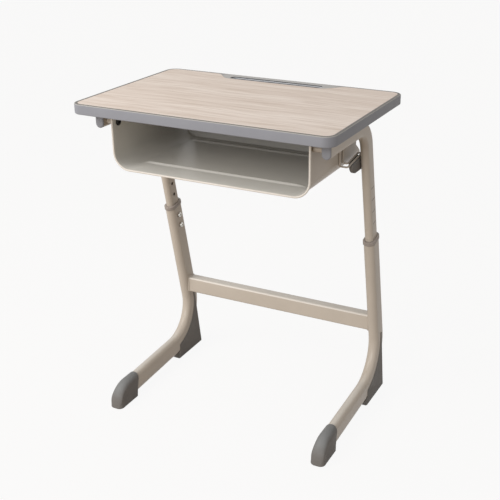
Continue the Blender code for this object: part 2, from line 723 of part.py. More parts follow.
def tongue_screw_point(side):
    """Where a hook tongue's screw crosses the middle plane of its upright."""
    on_line = leg_point(side, (UNDERSIDE_Z - TONGUE_DROP - CROSSBAR_Z) / math.cos(LEAN))
    return on_line - Vector((0.0, TONGUE_FORWARD, 0.0))


def tongue_tip_point(side):
    """Tip of a hook tongue, where its top edge meets its round nose."""
    return tongue_screw_point(side) + Vector((0.0, -TONGUE_REACH, TONGUE_RISE))


def tongue_touch_angle():
    """Direction from a hook tongue's screw to where its top edge touches its round root."""
    toward_tip = math.atan2(TONGUE_RISE, -TONGUE_REACH)
    return toward_tip - math.acos(TONGUE_ROOT_RADIUS / math.hypot(TONGUE_REACH, TONGUE_RISE))


def tongue_edge_slope():
    """Rise of a hook tongue's top edge for each metre towards the upright."""
    return math.tan(tongue_touch_angle() - math.pi / 2)


def build_hook(side_name, side):
    """Moulded bag-hook tongue on the inner side of an upright: straight top edge with a lip inside, round nose."""
    screw = tongue_screw_point(side)
    tip = tongue_tip_point(side)
    arcs = (
        (tip.y + TONGUE_NOSE_RADIUS, tip.z, TONGUE_NOSE_RADIUS, 180.0, 90.0),
        (screw.y, screw.z, TONGUE_ROOT_RADIUS, 270.0, 90.0 + math.degrees(tongue_touch_angle())),
    )
    outline = []
    for y, z, radius, start, sweep in arcs:
        for step in range(OVAL_STEPS + 1):
            angle = math.radians(start + sweep * step / OVAL_STEPS)
            outline.append((y + radius * math.cos(angle), z + radius * math.sin(angle)))
    face = side * (LEG_X - UPPER_TUBE_WIDTH / 2 - CLEARANCE)
    rings = []
    for x in (face, face - side * TONGUE_THICKNESS):
        rings.append([(x, y, z) for y, z in outline])
    part = add_part("hook_tongue_" + side_name, loft(rings), "dark_plastic", UPPER_FRAME)
    lip_levels = (-TONGUE_LIP_DROP, -TONGUE_LIP_DROP - TONGUE_LIP_HEIGHT)
    lip = [(tip.y + TONGUE_LIP_FROM_TIP, lip_levels[0]), (screw.y, lip_levels[0])]
    lip += [(screw.y, lip_levels[1]), (tip.y + TONGUE_LIP_FROM_TIP, lip_levels[1])]
    rings = []
    for x in (face - side * TONGUE_THICKNESS / 2, face - side * (TONGUE_THICKNESS + TONGUE_LIP_WIDTH)):
        rings.append([(x, y, tip.z + tongue_edge_slope() * (y - tip.y) + level) for y, level in lip])
    combine(part, loft(rings), "UNION")
    drill = bmesh.new()
    far = face - side * 2 * TONGUE_THICKNESS
    add_rod(drill, screw, (far, screw.y, screw.z), SCREW_RADIUS + CLEARANCE)
    combine(part, drill)

    seat = (face - side * (TONGUE_THICKNESS + CLEARANCE), screw.y, screw.z)
    turn = (0.0, side * math.pi / 2, 0.0)
    add_part("hook_screw_" + side_name, screw_shape(HOOK_SCREW_LENGTH), "zinc_steel", UPPER_FRAME, seat, turn)


def build_strap_loop(side_name, side):
    """Bent wire loop welded on the box's side wall, which runs back just above the tongue's top edge."""
    tip = tongue_tip_point(side)
    wall_x = side * (BOX_HALF_WIDTH + LOOP_WIRE_RADIUS + CLEARANCE)
    out_x = side * (LEG_X - UPPER_TUBE_WIDTH / 2 - LOOP_FROM_UPRIGHT - LOOP_WIRE_RADIUS)
    in_x = out_x - side * (2 * LOOP_BEND_RADIUS + CLEARANCE)
    front_y = tip.y - LOOP_AHEAD_OF_TONGUE
    back_y = front_y + LOOP_WIDTH
    end_y = front_y + LOOP_RUN
    top_z = UNDERSIDE_Z - LOOP_TOP_DROP
    front_z = tip.z + tongue_edge_slope() * (front_y - tip.y) + LOOP_ABOVE_TONGUE + LOOP_WIRE_RADIUS
    back_z = front_z + tongue_edge_slope() * LOOP_WIDTH
    end_z = front_z + tongue_edge_slope() * LOOP_RUN
    corners = ((wall_x, front_y, top_z), (wall_x, front_y, front_z), (out_x, front_y, front_z), (out_x, end_y, end_z),
               (in_x, end_y, end_z), (in_x, back_y, back_z), (wall_x, back_y, back_z), (wall_x, back_y, top_z))
    bend_steps = 3
    stations = bent_path(corners, LOOP_BEND_RADIUS, bend_steps)
    curve = bpy.data.curves.new("strap_loop_" + side_name, "CURVE")
    curve.dimensions = "3D"
    curve.bevel_depth = LOOP_WIRE_RADIUS
    curve.bevel_resolution = 2
    curve.use_fill_caps = True
    spline = curve.splines.new("POLY")
    spline.points.add(len(stations) - 1)
    for place, (point, _) in zip(spline.points, stations):
        place.co = (*point, 1.0)
    part = add_object("strap_loop_" + side_name, curve, UPPER_FRAME)
    curve.materials.append(make_material(part.name, "beige_paint"))


def foot_corner(side):
    """Where an upright's centre line would meet its foot's."""
    slope = math.tan(RISE)
    drop = CROSSBAR_Z - FOOT_HEIGHT - slope * CROSSBAR_Y
    return leg_point(side, -drop / (math.cos(LEAN) + slope * math.sin(LEAN)))


def foot_point(side, y):
    """Point of a foot's centre line at a depth."""
    return Vector((side * LEG_X, y, FOOT_HEIGHT + math.tan(RISE) * y))


def lower_stations(side):
    """Centre line of a lower tube, from its top end to the toe."""
    points = (leg_point(side, LOWER_TUBE_TOP), foot_corner(side), foot_point(side, FOOT_FRONT_Y))
    return bent_path(points, FOOT_BEND_RADIUS, BEND_STEPS)


def foot_envelope(side):
    """Solid round a lower tube, with the clearance that its mouldings keep."""
    rings = oval_rings(lower_stations(side), LOWER_TUBE_WIDTH / 2 + CLEARANCE, LOWER_STRAIGHT)
    tip = [Vector(point) + FOOT_FORWARD * CLEARANCE for point in rings[-1]]
    return loft(rings[:-1] + [tip])


def height_bolt_places():
    """Places of the height bolts: name, side, height above the crossbar."""
    places = []
    for side_name, side in SIDES:
        for name, step in (("lower", 0), ("upper", 1)):
            places.append((side_name + "_" + name, side, FIRST_HOLE + step * HOLE_PITCH))
    return places


def build_lower_tube(side_name, side):
    """Upright and foot in one flat-oval tube, tapped on its inner face for the height bolts."""
    tube = oval_tube(lower_stations(side), LOWER_TUBE_WIDTH / 2, LOWER_STRAIGHT)
    part = add_part("lower_tube_" + side_name, tube, "beige_paint", DESK)
    drill = bmesh.new()
    for name, _, height in height_bolt_places():
        if name.startswith(side_name):
            point = leg_point(side, height)
            far = (point.x - side * LOWER_TUBE_WIDTH, point.y, point.z)
            add_rod(drill, point, far, HEIGHT_BOLT_RADIUS + CLEARANCE)
    combine(part, drill)


def build_height_bolts():
    """Button-head bolts, drawn back until their tips are just clear of the sliding tubes."""
    for name, side, height in height_bolt_places():
        point = leg_point(side, height)
        point.x -= side * (LOWER_TUBE_WIDTH / 2 + BOLT_SEAT_GAP)
        crown = -HEIGHT_BOLT_HEAD_HEIGHT
        socket = [(SOCKET_RADIUS, crown + SOCKET_DEPTH), (SOCKET_RADIUS, crown)]
        head = dome(BUTTON_DOME, HEIGHT_BOLT_HEAD_RADIUS, HEIGHT_BOLT_HEAD_HEIGHT)
        shank = [(HEIGHT_BOLT_RADIUS, 0.0), (HEIGHT_BOLT_RADIUS, HEIGHT_BOLT_REACH)]
        bolt = turned(socket + head + shank)
        add_part("height_bolt_" + name, bolt, "zinc_steel", DESK, point, (0.0, side * math.pi / 2, 0.0))


def build_crossbar():
    """Rectangular tube welded between the inner faces of the lower tubes."""
    half_span = LEG_X - LOWER_TUBE_WIDTH / 2 - CLEARANCE
    rings = []
    for inset in (0.0, TUBE_WALL):
        size = (CROSSBAR_DEPTH - 2 * inset, CROSSBAR_HEIGHT - 2 * inset)
        outline = rounded_rectangle(*size, CROSSBAR_CORNER_RADIUS - inset)
        for x in (-half_span, half_span) if inset == 0.0 else (half_span, -half_span):
            rings.append([(x, CROSSBAR_Y + y, CROSSBAR_Z + z) for y, z in outline])
    add_part("crossbar", loft(rings, closed=True), "beige_paint", DESK)


def build_collar(side_name, side):
    """Moulded collar pressed over the top end of a lower tube, with a lip that guides the upper tube."""
    origin = leg_point(side, LOWER_TUBE_TOP)
    skirt = LOWER_TUBE_WIDTH / 2 + CLEARANCE
    outer = skirt + COLLAR_WALL
    bore = UPPER_TUBE_WIDTH / 2 + CLEARANCE
    steps = (
        (-COLLAR_SKIRT, outer - COLLAR_CHAMFER, LOWER_STRAIGHT),
        (COLLAR_CHAMFER - COLLAR_SKIRT, outer, LOWER_STRAIGHT),
        (COLLAR_LIP - COLLAR_CHAMFER, outer, LOWER_STRAIGHT),
        (COLLAR_LIP, outer - COLLAR_CHAMFER, LOWER_STRAIGHT),
        (COLLAR_LIP, bore, UPPER_STRAIGHT),
        (CLEARANCE, bore, UPPER_STRAIGHT),
        (CLEARANCE, skirt, LOWER_STRAIGHT),
        (-COLLAR_SKIRT, skirt, LOWER_STRAIGHT),
    )
    rings = straight_rings(origin, -LEG_DOWN, steps)
    add_part("collar_" + side_name, loft(rings, closed=True), "grey_plastic", DESK)


def toe_section(side, y, height, floor_half_width):
    """Section of a toe cap: flat floor, sides that lean in, round top."""
    top_half_width = LOWER_TUBE_WIDTH / 2 + CLEARANCE + TOE_SIDE_WALL
    round_height = min(top_half_width, TOE_ROUND_SHARE * height)
    shoulder = height - round_height
    lean_in = (TOE_FLOOR_WIDTH / 2 - top_half_width) * min(shoulder / TOE_FLARE_HEIGHT, 1.0)
    half_width = floor_half_width - lean_in
    points = [(floor_half_width - TOE_FLOOR_CHAMFER, 0.0), (floor_half_width, TOE_FLOOR_CHAMFER)]
    for step in range(OVAL_STEPS + 1):
        angle = math.pi * step / OVAL_STEPS
        points.append((half_width * math.cos(angle), shoulder + round_height * math.sin(angle)))
    points += [(-floor_half_width, TOE_FLOOR_CHAMFER), (TOE_FLOOR_CHAMFER - floor_half_width, 0.0)]
    return [(side * LEG_X + across, y, z) for across, z in points]


def build_toe_cap(side_name, side):
    """Moulded shoe on the front end of a foot, wider at the floor, with a round nose."""
    half_floor = TOE_FLOOR_WIDTH / 2
    tube_top = foot_point(side, TOE_REAR_Y).z + LOWER_TUBE_DEPTH / 2
    body_height = tube_top + CLEARANCE + TOE_TOP_WALL
    nose_start = TOE_FRONT_Y + TOE_NOSE_LENGTH
    plan_radius = half_floor * TOE_CORNER_SHARE
    nose_steps = 8
    lean = math.tan(math.radians(TOE_REAR_LEAN))
    rear = toe_section(side, TOE_REAR_Y, body_height, half_floor)
    rings = [[(x, y + lean * z, z) for x, y, z in rear]]
    for step in range(nose_steps + 1):
        angle = math.pi / 2 * step / nose_steps
        y = nose_start - TOE_NOSE_LENGTH * math.sin(angle)
        height = TOE_NOSE_HEIGHT + (body_height - TOE_NOSE_HEIGHT) * math.cos(angle)
        past_corner = max(0.0, TOE_FRONT_Y + plan_radius - y)
        half_width = half_floor - plan_radius + math.sqrt(max(0.0, plan_radius ** 2 - past_corner ** 2))
        rings.append(toe_section(side, y, height, half_width))
    part = add_part("toe_cap_" + side_name, loft(rings), "dark_plastic", DESK)
    combine(part, foot_envelope(side))


def build_heel_pad(side_name, side):
    """Moulded wedge that fills the outside of a foot's bend and stands on the floor."""
    rake = math.tan(math.radians(HEEL_RAKE))
    bend = lower_stations(side)[1:-1]
    inside = [(point.y, point.z) for point, _ in bend if point.y > HEEL_FRONT_Y]
    top_y, top_z = inside[0]
    outline = [(HEEL_FRONT_Y, 0.0), (HEEL_REAR_Y - HEEL_CORNER, 0.0), (HEEL_REAR_Y, HEEL_CORNER)]
    outline.append((HEEL_REAR_Y - rake * (top_z - HEEL_CORNER), top_z))
    outline += inside
    outline.append((HEEL_FRONT_Y, foot_point(side, HEEL_FRONT_Y).z))
    rings = []
    for x in (-HEEL_WIDTH / 2, HEEL_WIDTH / 2):
        rings.append([(side * LEG_X + x, y, z) for y, z in outline])
    part = add_part("heel_pad_" + side_name, loft(rings), "dark_plastic", DESK)
    combine(part, foot_envelope(side))


build_top()
build_edge()
build_book_box()
build_box_fixings()
build_top_screws()
build_crossbar()
build_height_bolts()
for leg_name, leg_side in SIDES:
    build_upper_tube(leg_name, leg_side)
    build_arm_cap(leg_name, leg_side)
    build_tube_bush(leg_name, leg_side)
    build_hook(leg_name, leg_side)
    build_strap_loop(leg_name, leg_side)
    build_lower_tube(leg_name, leg_side)
    build_collar(leg_name, leg_side)
    build_toe_cap(leg_name, leg_side)
    build_heel_pad(leg_name, leg_side)
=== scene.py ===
from math import acos, atan2, cos, hypot, pi, radians, sin, sqrt, tan

import bmesh
import bpy
from mathutils import Matrix, Vector


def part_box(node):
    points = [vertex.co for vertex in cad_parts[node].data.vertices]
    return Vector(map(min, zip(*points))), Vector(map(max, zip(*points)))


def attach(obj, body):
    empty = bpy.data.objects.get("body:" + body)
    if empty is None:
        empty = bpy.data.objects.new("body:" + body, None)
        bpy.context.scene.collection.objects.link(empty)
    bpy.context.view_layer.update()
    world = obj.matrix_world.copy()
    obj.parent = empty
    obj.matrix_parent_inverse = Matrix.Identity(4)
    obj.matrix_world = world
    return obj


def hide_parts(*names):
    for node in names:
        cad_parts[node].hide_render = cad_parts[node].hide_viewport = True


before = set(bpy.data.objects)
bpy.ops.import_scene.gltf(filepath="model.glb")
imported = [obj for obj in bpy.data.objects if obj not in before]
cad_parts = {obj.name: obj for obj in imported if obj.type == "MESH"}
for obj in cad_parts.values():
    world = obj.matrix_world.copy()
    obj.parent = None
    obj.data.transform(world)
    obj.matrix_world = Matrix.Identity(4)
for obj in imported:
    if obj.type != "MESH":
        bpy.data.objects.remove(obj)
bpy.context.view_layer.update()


# Lower tubes. Upright and foot of each side are one flat-oval steel tube, 26 by 50 mm, bent cold and powder
# coated. The inner face is tapped twice for the height bolts, 30 mm apart.
def linear(hex_colour):
    """Linear RGBA of an sRGB hex colour."""
    levels = [int(hex_colour[start:start + 2], 16) / 255 for start in (1, 3, 5)]
    return [v / 12.92 if v <= 0.04045 else ((v + 0.055) / 1.055) ** 2.4 for v in levels] + [1.0]


def fill(tree, node, inputs):
    """Fills a node's inputs with values, hex colours or the outputs of other nodes."""
    for name, value in inputs.items():
        if isinstance(value, bpy.types.NodeSocket):
            tree.links.new(value, node.inputs[name])
        elif isinstance(value, str):
            node.inputs[name].default_value = linear(value)
        else:
            node.inputs[name].default_value = value


def add_node(tree, kind, inputs, output=0, **settings):
    """Adds a shader node, sets its properties, fills its inputs and gives one of its outputs."""
    made = tree.nodes.new("ShaderNode" + kind)
    for name, value in settings.items():
        setattr(made, name, value)
    fill(tree, made, inputs)
    return made.outputs[output]


def new_material(name):
    """Material, its node tree, and the place on the piece that its textures go by."""
    material = bpy.data.materials.new(name)
    material.use_nodes = True
    tree = material.node_tree
    return material, tree, add_node(tree, "TexCoord", {}, "Object")


def set_shader(tree, inputs):
    """Fills the inputs of a material's own shader."""
    fill(tree, tree.nodes["Principled BSDF"], inputs)


def facing_up(tree):
    """How far a surface faces up: 1 on a level top, 0 on a wall."""
    return add_node(tree, "SeparateXYZ", {0: add_node(tree, "NewGeometry", {}, "Normal")}, "Z")


def add_noise(tree, place, size, detail):
    """Noise with spots of a size in metres."""
    return add_node(tree, "TexNoise", {"Vector": place, "Scale": 1 / size, "Detail": detail})


def remap(tree, value, low, high, first, last):
    """Takes values from low to high to those from first to last, and holds them beyond."""
    return add_node(tree, "MapRange", {0: value, 1: low, 2: high, 3: first, 4: last})


def blend(tree, share, first, second):
    """Colour that goes from the first to the second with a share."""
    return add_node(tree, "Mix", {0: share, 6: first, 7: second}, 2, data_type="RGBA")


def arc(x, y, radius, start, sweep, steps):
    """Points of an arc about (x, y)."""
    turns = [start + sweep * step / steps for step in range(steps + 1)]
    return [(x + radius * cos(turn), y + radius * sin(turn)) for turn in turns]


def oval(half_width, half_straight, steps=20):
    """Flat-oval section: (across, along) points."""
    near = arc(0.0, half_straight, half_width, 0.0, pi, steps)
    return near + arc(0.0, -half_straight, half_width, pi, pi, steps)


def bent_path(corners, radius, steps):
    """Points and directions along a bent tube or wire: straight runs with one radius at every corner."""
    corners = [Vector(corner) for corner in corners]
    stations = [(corners[0], (corners[1] - corners[0]).normalized())]
    for before, corner, after in zip(corners, corners[1:], corners[2:]):
        arriving = (corner - before).normalized()
        leaving = (after - corner).normalized()
        turn = arriving.angle(leaving)
        centre = corner + (leaving - arriving).normalized() * radius / cos(turn / 2)
        spoke = corner - arriving * radius * tan(turn / 2) - centre
        axis = arriving.cross(leaving).normalized()
        for step in range(steps + 1):
            swing = Matrix.Rotation(turn * step / steps, 3, axis)
            stations.append((centre + swing @ spoke, swing @ arriving))
    stations.append((corners[-1], (corners[-1] - corners[-2]).normalized()))
    return stations


def oval_rings(stations, half_width, half_straight):
    """Flat-oval rings square to a path that bends in the YZ plane."""
    across = Vector((1.0, 0.0, 0.0))
    rings = []
    for point, direction in stations:
        along = across.cross(direction)
        rings.append([point + across * a + along * b for a, b in oval(half_width, half_straight)])
    return rings


def skin(rings, closed=False):
    """Mesh over rings of points. A closed skin joins its last ring to its first, as a tube wall does."""
    shape = bmesh.new()
    loops = [[shape.verts.new(point) for point in ring] for ring in rings]
    for first, second in zip(loops, loops[1:] + loops[:1] if closed else loops[1:]):
        for index in range(len(first)):
            following = (index + 1) % len(first)
            shape.faces.new((first[index], first[following], second[following], second[index]))
    if not closed:
        shape.faces.new(loops[0])
        shape.faces.new(loops[-1])
    return shape


def smooth(mesh):
    """Shades a mesh smooth, sharp only at real edges."""
    mesh.shade_smooth()
    mesh.set_sharp_from_angle(angle=radians(32))


def add_piece(name, shape, material):
    """Object with a smooth mesh and one material."""
    bmesh.ops.recalc_face_normals(shape, faces=shape.faces)
    mesh = bpy.data.meshes.new(name)
    shape.to_mesh(mesh)
    shape.free()
    smooth(mesh)
    mesh.materials.append(material)
    piece = bpy.data.objects.new(name, mesh)
    bpy.context.scene.collection.objects.link(piece)
    return piece


def settle(piece):
    """Writes the result of a piece's modifiers into its mesh."""
    bpy.context.view_layer.update()
    made = bpy.data.meshes.new_from_object(piece.evaluated_get(bpy.context.evaluated_depsgraph_get()))
    piece.modifiers.clear()
    piece.data = made
    smooth(made)


def combine(piece, shape, operation="DIFFERENCE"):
    """Takes a shape out of a piece, or joins it on."""
    tool = add_piece(piece.name + "_tool", shape, piece.data.materials[0])
    boolean = piece.modifiers.new("combine", "BOOLEAN")
    boolean.operation = operation
    boolean.solver = "EXACT"
    boolean.object = tool
    settle(piece)
    bpy.data.objects.remove(tool)


def circle(radius, height, steps=32):
    """Level ring of points round the Z axis."""
    turns = [2 * pi * step / steps for step in range(steps)]
    return [(radius * cos(turn), radius * sin(turn), height) for turn in turns]


def rod(start, end, radius):
    """Round rod between two points."""
    turn = (end - start).to_track_quat("Z", "Y")
    heights = (0.0, (end - start).length)
    return skin([[start + turn @ Vector(point) for point in circle(radius, z)] for z in heights])


# Polyester powder coat on steel: sprayed on dry and baked, it flows into a satin skin with a faint peel.
# The eye sees soft highlights that break up a little and a tone that drifts by a shade; faces that look up
# are painted paler, as painted light from above.
def satin_coat(name, shine):
    """Powder coat without its colour: material, node tree, place, and the drift of its tone."""
    material, tree, place = new_material(name)
    drift = add_noise(tree, place, 0.060, 4.0)
    # Orange peel is 1 to 2 mm from crest to crest; 3 mm is drawn so that it shows from across the desk
    peel = add_noise(tree, place, 0.003, 2.0)
    gloss = remap(tree, drift, 0.3, 0.7, 0.30, 0.38)
    bump = add_node(tree, "Bump", {"Height": peel, "Strength": 0.12, "Distance": 0.0002})
    set_shader(tree, {"Specular IOR Level": shine, "Roughness": gloss, "Normal": bump})
    return material, tree, place, drift


def beige_coat(name, dark, pale):
    """Powder coat in a tone that drifts from dark to pale, with painted light from above on its upward
    faces.
    """
    material, tree, _, drift = satin_coat(name, 0.25)
    tone = blend(tree, drift, dark, pale)
    # Upward faces are mixed towards a pale tone: painted light from above.
    painted_top_light = add_node(tree, "Math", {0: drift, 1: 0.2, 2: facing_up(tree)}, operation="MULTIPLY_ADD")
    painted_top_light = remap(tree, painted_top_light, 0.90, 1.10, 0.0, 0.8)
    tone = blend(tree, painted_top_light, tone, "#CFC8BE")
    set_shader(tree, {"Base Color": tone})
    return material


powder_coat = beige_coat("satin_powder_coat", "#B3A89B", "#BDB2A5")

# Heights along an upright are measured from the crossbar, and depths from the middle of the top
sides = (("left", -1), ("right", 1))
top_low, top_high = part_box("edge_band")
middle_y = (top_low.y + top_high.y) / 2
leg_low, leg_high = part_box("lower_tube_right")
leg_x = (leg_low.x + leg_high.x) / 2
bar_low, bar_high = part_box("crossbar")
bar_middle = (bar_low + bar_high) / 2
lean = radians(12)
leg_up = Vector((0.0, -sin(lean), cos(lean)))
leg_half, leg_straight, leg_top = 0.0130, 0.012, 0.245
tube_wall, gap = 0.0015, 0.0003
foot_slope = tan(radians(2.6))
foot_height, foot_front, foot_bend = 0.036, -0.142, 0.102
first_hole, hole_pitch, hole_radius, drill_reach = 0.1843, 0.030, 0.0043, 0.030


def leg_point(side, height):
    """Point of an upright's centre line, this far along the line from the crossbar."""
    return Vector((side * leg_x, bar_middle.y, bar_middle.z)) + height * leg_up


def foot_point(side, y):
    """Point of a foot's centre line at a depth."""
    return Vector((side * leg_x, y + middle_y, foot_height + foot_slope * y))


def lower_stations(side):
    """Centre line of a lower tube, from its top end to the toe."""
    drop = bar_middle.z - foot_height - foot_slope * (bar_middle.y - middle_y)
    corner = leg_point(side, -drop / (cos(lean) + foot_slope * sin(lean)))
    return bent_path((leg_point(side, leg_top), corner, foot_point(side, foot_front)), foot_bend, steps=30)


def add_tube(name, stations, half_width, half_straight):
    """Open flat-oval tube along a path."""
    outer = oval_rings(stations, half_width, half_straight)
    inner = oval_rings(stations, half_width - tube_wall, half_straight)
    return add_piece(name, skin(outer + inner[::-1], closed=True), powder_coat)


def drill_holes(tube, side, count):
    """Drills height holes, one above the other, through the inner face of an upright."""
    for step in range(count):
        point = leg_point(side, first_hole + hole_pitch * step)
        combine(tube, rod(point, point - Vector((side * drill_reach, 0.0, 0.0)), hole_radius))


for name, side in sides:
    tube = add_tube("leg_tube_" + name, lower_stations(side), leg_half, leg_straight)
    drill_holes(tube, side, 2)
    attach(tube, "standing_frame")
    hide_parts("lower_tube_" + name)


# Crossbar. A rectangular steel tube, 28 by 41 mm, cut square and welded between the uprights all round.
# The welds are small and rippled, and the powder coat runs over them.
def rounded_rectangle(width, depth, radius, steps=10):
    """Rectangle with round corners: (x, y) points."""
    points = []
    for number, (right, back) in enumerate(((1, 1), (-1, 1), (-1, -1), (1, -1))):
        x, y = right * (width / 2 - radius), back * (depth / 2 - radius)
        points += arc(x, y, radius, number * pi / 2, pi / 2, steps)
    return points


bar_depth, bar_height, bar_corner = bar_high.y - bar_low.y, bar_high.z - bar_low.z, 0.005
rings = []
for inset, ends in ((0.0, (bar_low.x, bar_high.x)), (tube_wall, (bar_high.x, bar_low.x))):
    outline = rounded_rectangle(bar_depth - 2 * inset, bar_height - 2 * inset, bar_corner - inset)
    rings += [[(x, bar_middle.y + y, bar_middle.z + z) for y, z in outline] for x in ends]
bar = add_piece("cross_tube", skin(rings, closed=True), powder_coat)

# Paler powder coat for rounded edges that catch the light: a painted highlight, drawn as a paler line.
highlight_coat = beige_coat("painted_highlight_powder_coat", "#CFC7BD", "#DAD3C9")
bar.data.materials.append(highlight_coat)
# The crossbar's rounded top front corner takes the pale coat: a painted highlight.
for face in bar.data.polygons:
    if face.normal.y < -0.3 and face.normal.z > 0.3 and face.center.z > bar_middle.z:
        face.material_index = 1
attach(bar, "standing_frame")
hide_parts("crossbar")

weld_size, weld_ripple, weld_step, weld_sink = 0.0017, 0.0004, 0.0007, 0.0002
for name, side in sides:
    outline = rounded_rectangle(bar_depth, bar_height, bar_corner, steps=12)
    outline = [Vector((0.0, y, z)) for y, z in outline]
    seam = []
    for start, end in zip(outline, outline[1:] + outline[:1]):
        count = max(1, round((end - start).length / weld_step))
        seam += [start.lerp(end, step / count) for step in range(count)]
    rings = []
    for index, point in enumerate(seam):
        run = (seam[(index + 1) % len(seam)] - seam[index - 1]).normalized()
        out = run.cross(Vector((1.0, 0.0, 0.0)))
        size = weld_size + weld_ripple * abs(sin(pi * index / 4))
        foot = bar_middle + point + Vector((side * (bar_high.x - weld_sink), 0.0, 0.0))
        rings.append([foot + out * a + Vector((b, 0.0, 0.0)) for a, b, _ in circle(size, 0.0, steps=12)])
    weld = add_piece("crossbar_weld_" + name, skin(rings, closed=True), powder_coat)
    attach(weld, "standing_frame")


# Toe caps. Moulded shoes pushed over the front ends of the feet, wider at the floor than at the tube.
# Each has a round nose and a ridge along the top that runs out into the tube.
# Polypropylene, moulded against a spark-eroded steel face: a dull, finely pebbled dark grey.
# Raised edges are painted paler as a painted highlight, and faces that look up are painted paler as painted
# sheen from above.
def moulded_plastic(name, shine, smoothest, roughest, relief):
    """Moulded plastic without its colour: material, node tree and place."""
    material, tree, place = new_material(name)
    # The pebbles are about 0.3 mm; 1.2 mm is drawn so that the surface still breaks up the light
    pebble = add_noise(tree, place, 0.0012, 3.0)
    gloss = remap(tree, pebble, 0.3, 0.7, smoothest, roughest)
    bump = add_node(tree, "Bump", {"Height": pebble, "Strength": relief, "Distance": 0.0002})
    set_shader(tree, {"Specular IOR Level": shine, "Roughness": gloss, "Normal": bump})
    return material, tree, place


def edge_highlight_mask(tree, strength):
    """Mask of the raised edges of a piece, where a painted highlight is mixed in."""
    edge = add_node(tree, "NewGeometry", {}, "Pointiness")
    return remap(tree, edge, 0.53, 0.62, 0.0, strength)


def drifting_tone(tree, place, size, detail, dark, pale):
    """Noise of a size in metres, and a tone that goes with it from dark to pale."""
    noise = add_noise(tree, place, size, detail)
    return noise, blend(tree, noise, dark, pale)


dark_plastic, tree, place = moulded_plastic("moulded_dark_polypropylene", 0.08, 0.46, 0.62, relief=0.3)
drift, tone = drifting_tone(tree, place, 0.025, 5.0, "#6D6966", "#797571")
# Raised edges are mixed paler: a painted highlight.
edge = edge_highlight_mask(tree, 0.7)
tone = blend(tree, edge, tone, "#8C8A87")
# Upward faces are mixed paler: painted sheen from above.
painted_top_light = add_node(tree, "Math", {0: drift, 1: 0.4, 2: facing_up(tree)}, operation="MULTIPLY_ADD")
painted_top_light = remap(tree, painted_top_light, 0.45, 1.05, 0.0, 0.9)
tone = blend(tree, painted_top_light, tone, "#838382")
set_shader(tree, {"Base Color": tone})

toe_rear, toe_front, toe_lean = -0.106, -0.176, tan(radians(15))
toe_half, toe_top_half, toe_flare, toe_wall = 0.0175, 0.0153, 0.040, 0.002
nose_length, nose_height, nose_radius = 0.050, 0.008, 0.6 * toe_half


def quarter(steps):
    """Angles of a quarter turn in even steps."""
    return [pi / 2 * step / steps for step in range(steps + 1)]


def corner_round(radius, steps):
    """Points that round a square corner, as distances from its two faces."""
    return [(radius * (1 - cos(angle)), radius * (1 - sin(angle))) for angle in quarter(steps)]


def foot_core(side):
    """Solid round a lower tube, with the clearance that its mouldings keep."""
    return skin(oval_rings(lower_stations(side), leg_half + gap, leg_straight))


def toe_section(side, y, height, floor_half):
    """Section of a toe cap: flat floor with a small chamfer, sides that flare near the floor, round top."""
    chamfer = 0.002
    round_height = min(toe_top_half, 0.6 * height)
    shoulder = height - round_height
    half = floor_half - (toe_half - toe_top_half) * min(shoulder / toe_flare, 1.0)
    right = [(floor_half - chamfer, 0.0), (floor_half - 0.3 * chamfer, 0.3 * chamfer), (floor_half, chamfer)]
    for step in range(1, 6):
        rise = step / 6
        right.append((half + (floor_half - half) * (1 - rise) ** 2, chamfer + (shoulder - chamfer) * rise))
    right += [(half * cos(turn), shoulder + round_height * sin(turn)) for turn in quarter(12)]
    left = [(-across, z) for across, z in right[-2::-1]]
    return [(side * leg_x + across, y + middle_y, z) for across, z in right + left]


for name, side in sides:
    body_height = foot_point(side, toe_rear).z + leg_half + leg_straight + gap + toe_wall
    rings = []
    for setback, inset in ((0.0, 0.0012), (0.0005, 0.0004), (0.0014, 0.0)):
        rear = toe_section(side, toe_rear - setback, body_height - inset, toe_half - inset)
        rings.append([(x, y + toe_lean * z, z) for x, y, z in rear])
    for angle in quarter(24):
        y = toe_front + nose_length - nose_length * sin(angle)
        height = nose_height + (body_height - nose_height) * cos(angle)
        past_corner = max(0.0, toe_front + nose_radius - y)
        half = toe_half - nose_radius + sqrt(max(0.0, nose_radius ** 2 - past_corner ** 2))
        rings.append(toe_section(side, y, height, half))
    cap = add_piece("toe_shoe_" + name, skin(rings), dark_plastic)
    combine(cap, foot_core(side))
    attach(cap, "standing_frame")
    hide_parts("toe_cap_" + name)


# Heel pads. Moulded wedges in the same plastic that fill the outside of each foot's bend down to the floor.
# Their thin flanks wrap the tube to its middle line, and they are riveted from inside, so no fixing shows.
heel_front, heel_rear, heel_half = 0.099, 0.212, 0.0144
heel_rake, heel_corner, flank_round = tan(radians(8.9)), 0.006, 0.005
for name, side in sides:
    front, rear = heel_front + middle_y, heel_rear + middle_y
    inside = [(point.y, point.z) for point, _ in lower_stations(side)[1:-1] if point.y > front]
    top_z = inside[0][1]
    outline = [(front, 0.0)] + [(rear - b, a) for a, b in corner_round(heel_corner, 8)]
    outline.append((rear - heel_rake * (top_z - heel_corner), top_z))
    outline += inside + [(front, foot_point(side, heel_front).z)]
    layers = [(a - heel_half, b) for a, b in corner_round(flank_round, 6)]
    layers += [(-x, inset) for x, inset in reversed(layers)]
    rings = []
    for x, inset in layers:
        ring = []
        for y, z in outline:
            behind = rear - heel_rake * max(0.0, z - heel_corner) - inset
            ring.append((side * leg_x + x, min(max(y, front + inset), behind), max(z, inset)))
        rings.append(ring)
    pad = add_piece("heel_wedge_" + name, skin(rings), dark_plastic)
    combine(pad, foot_core(side))
    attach(pad, "standing_frame")
    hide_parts("heel_pad_" + name)


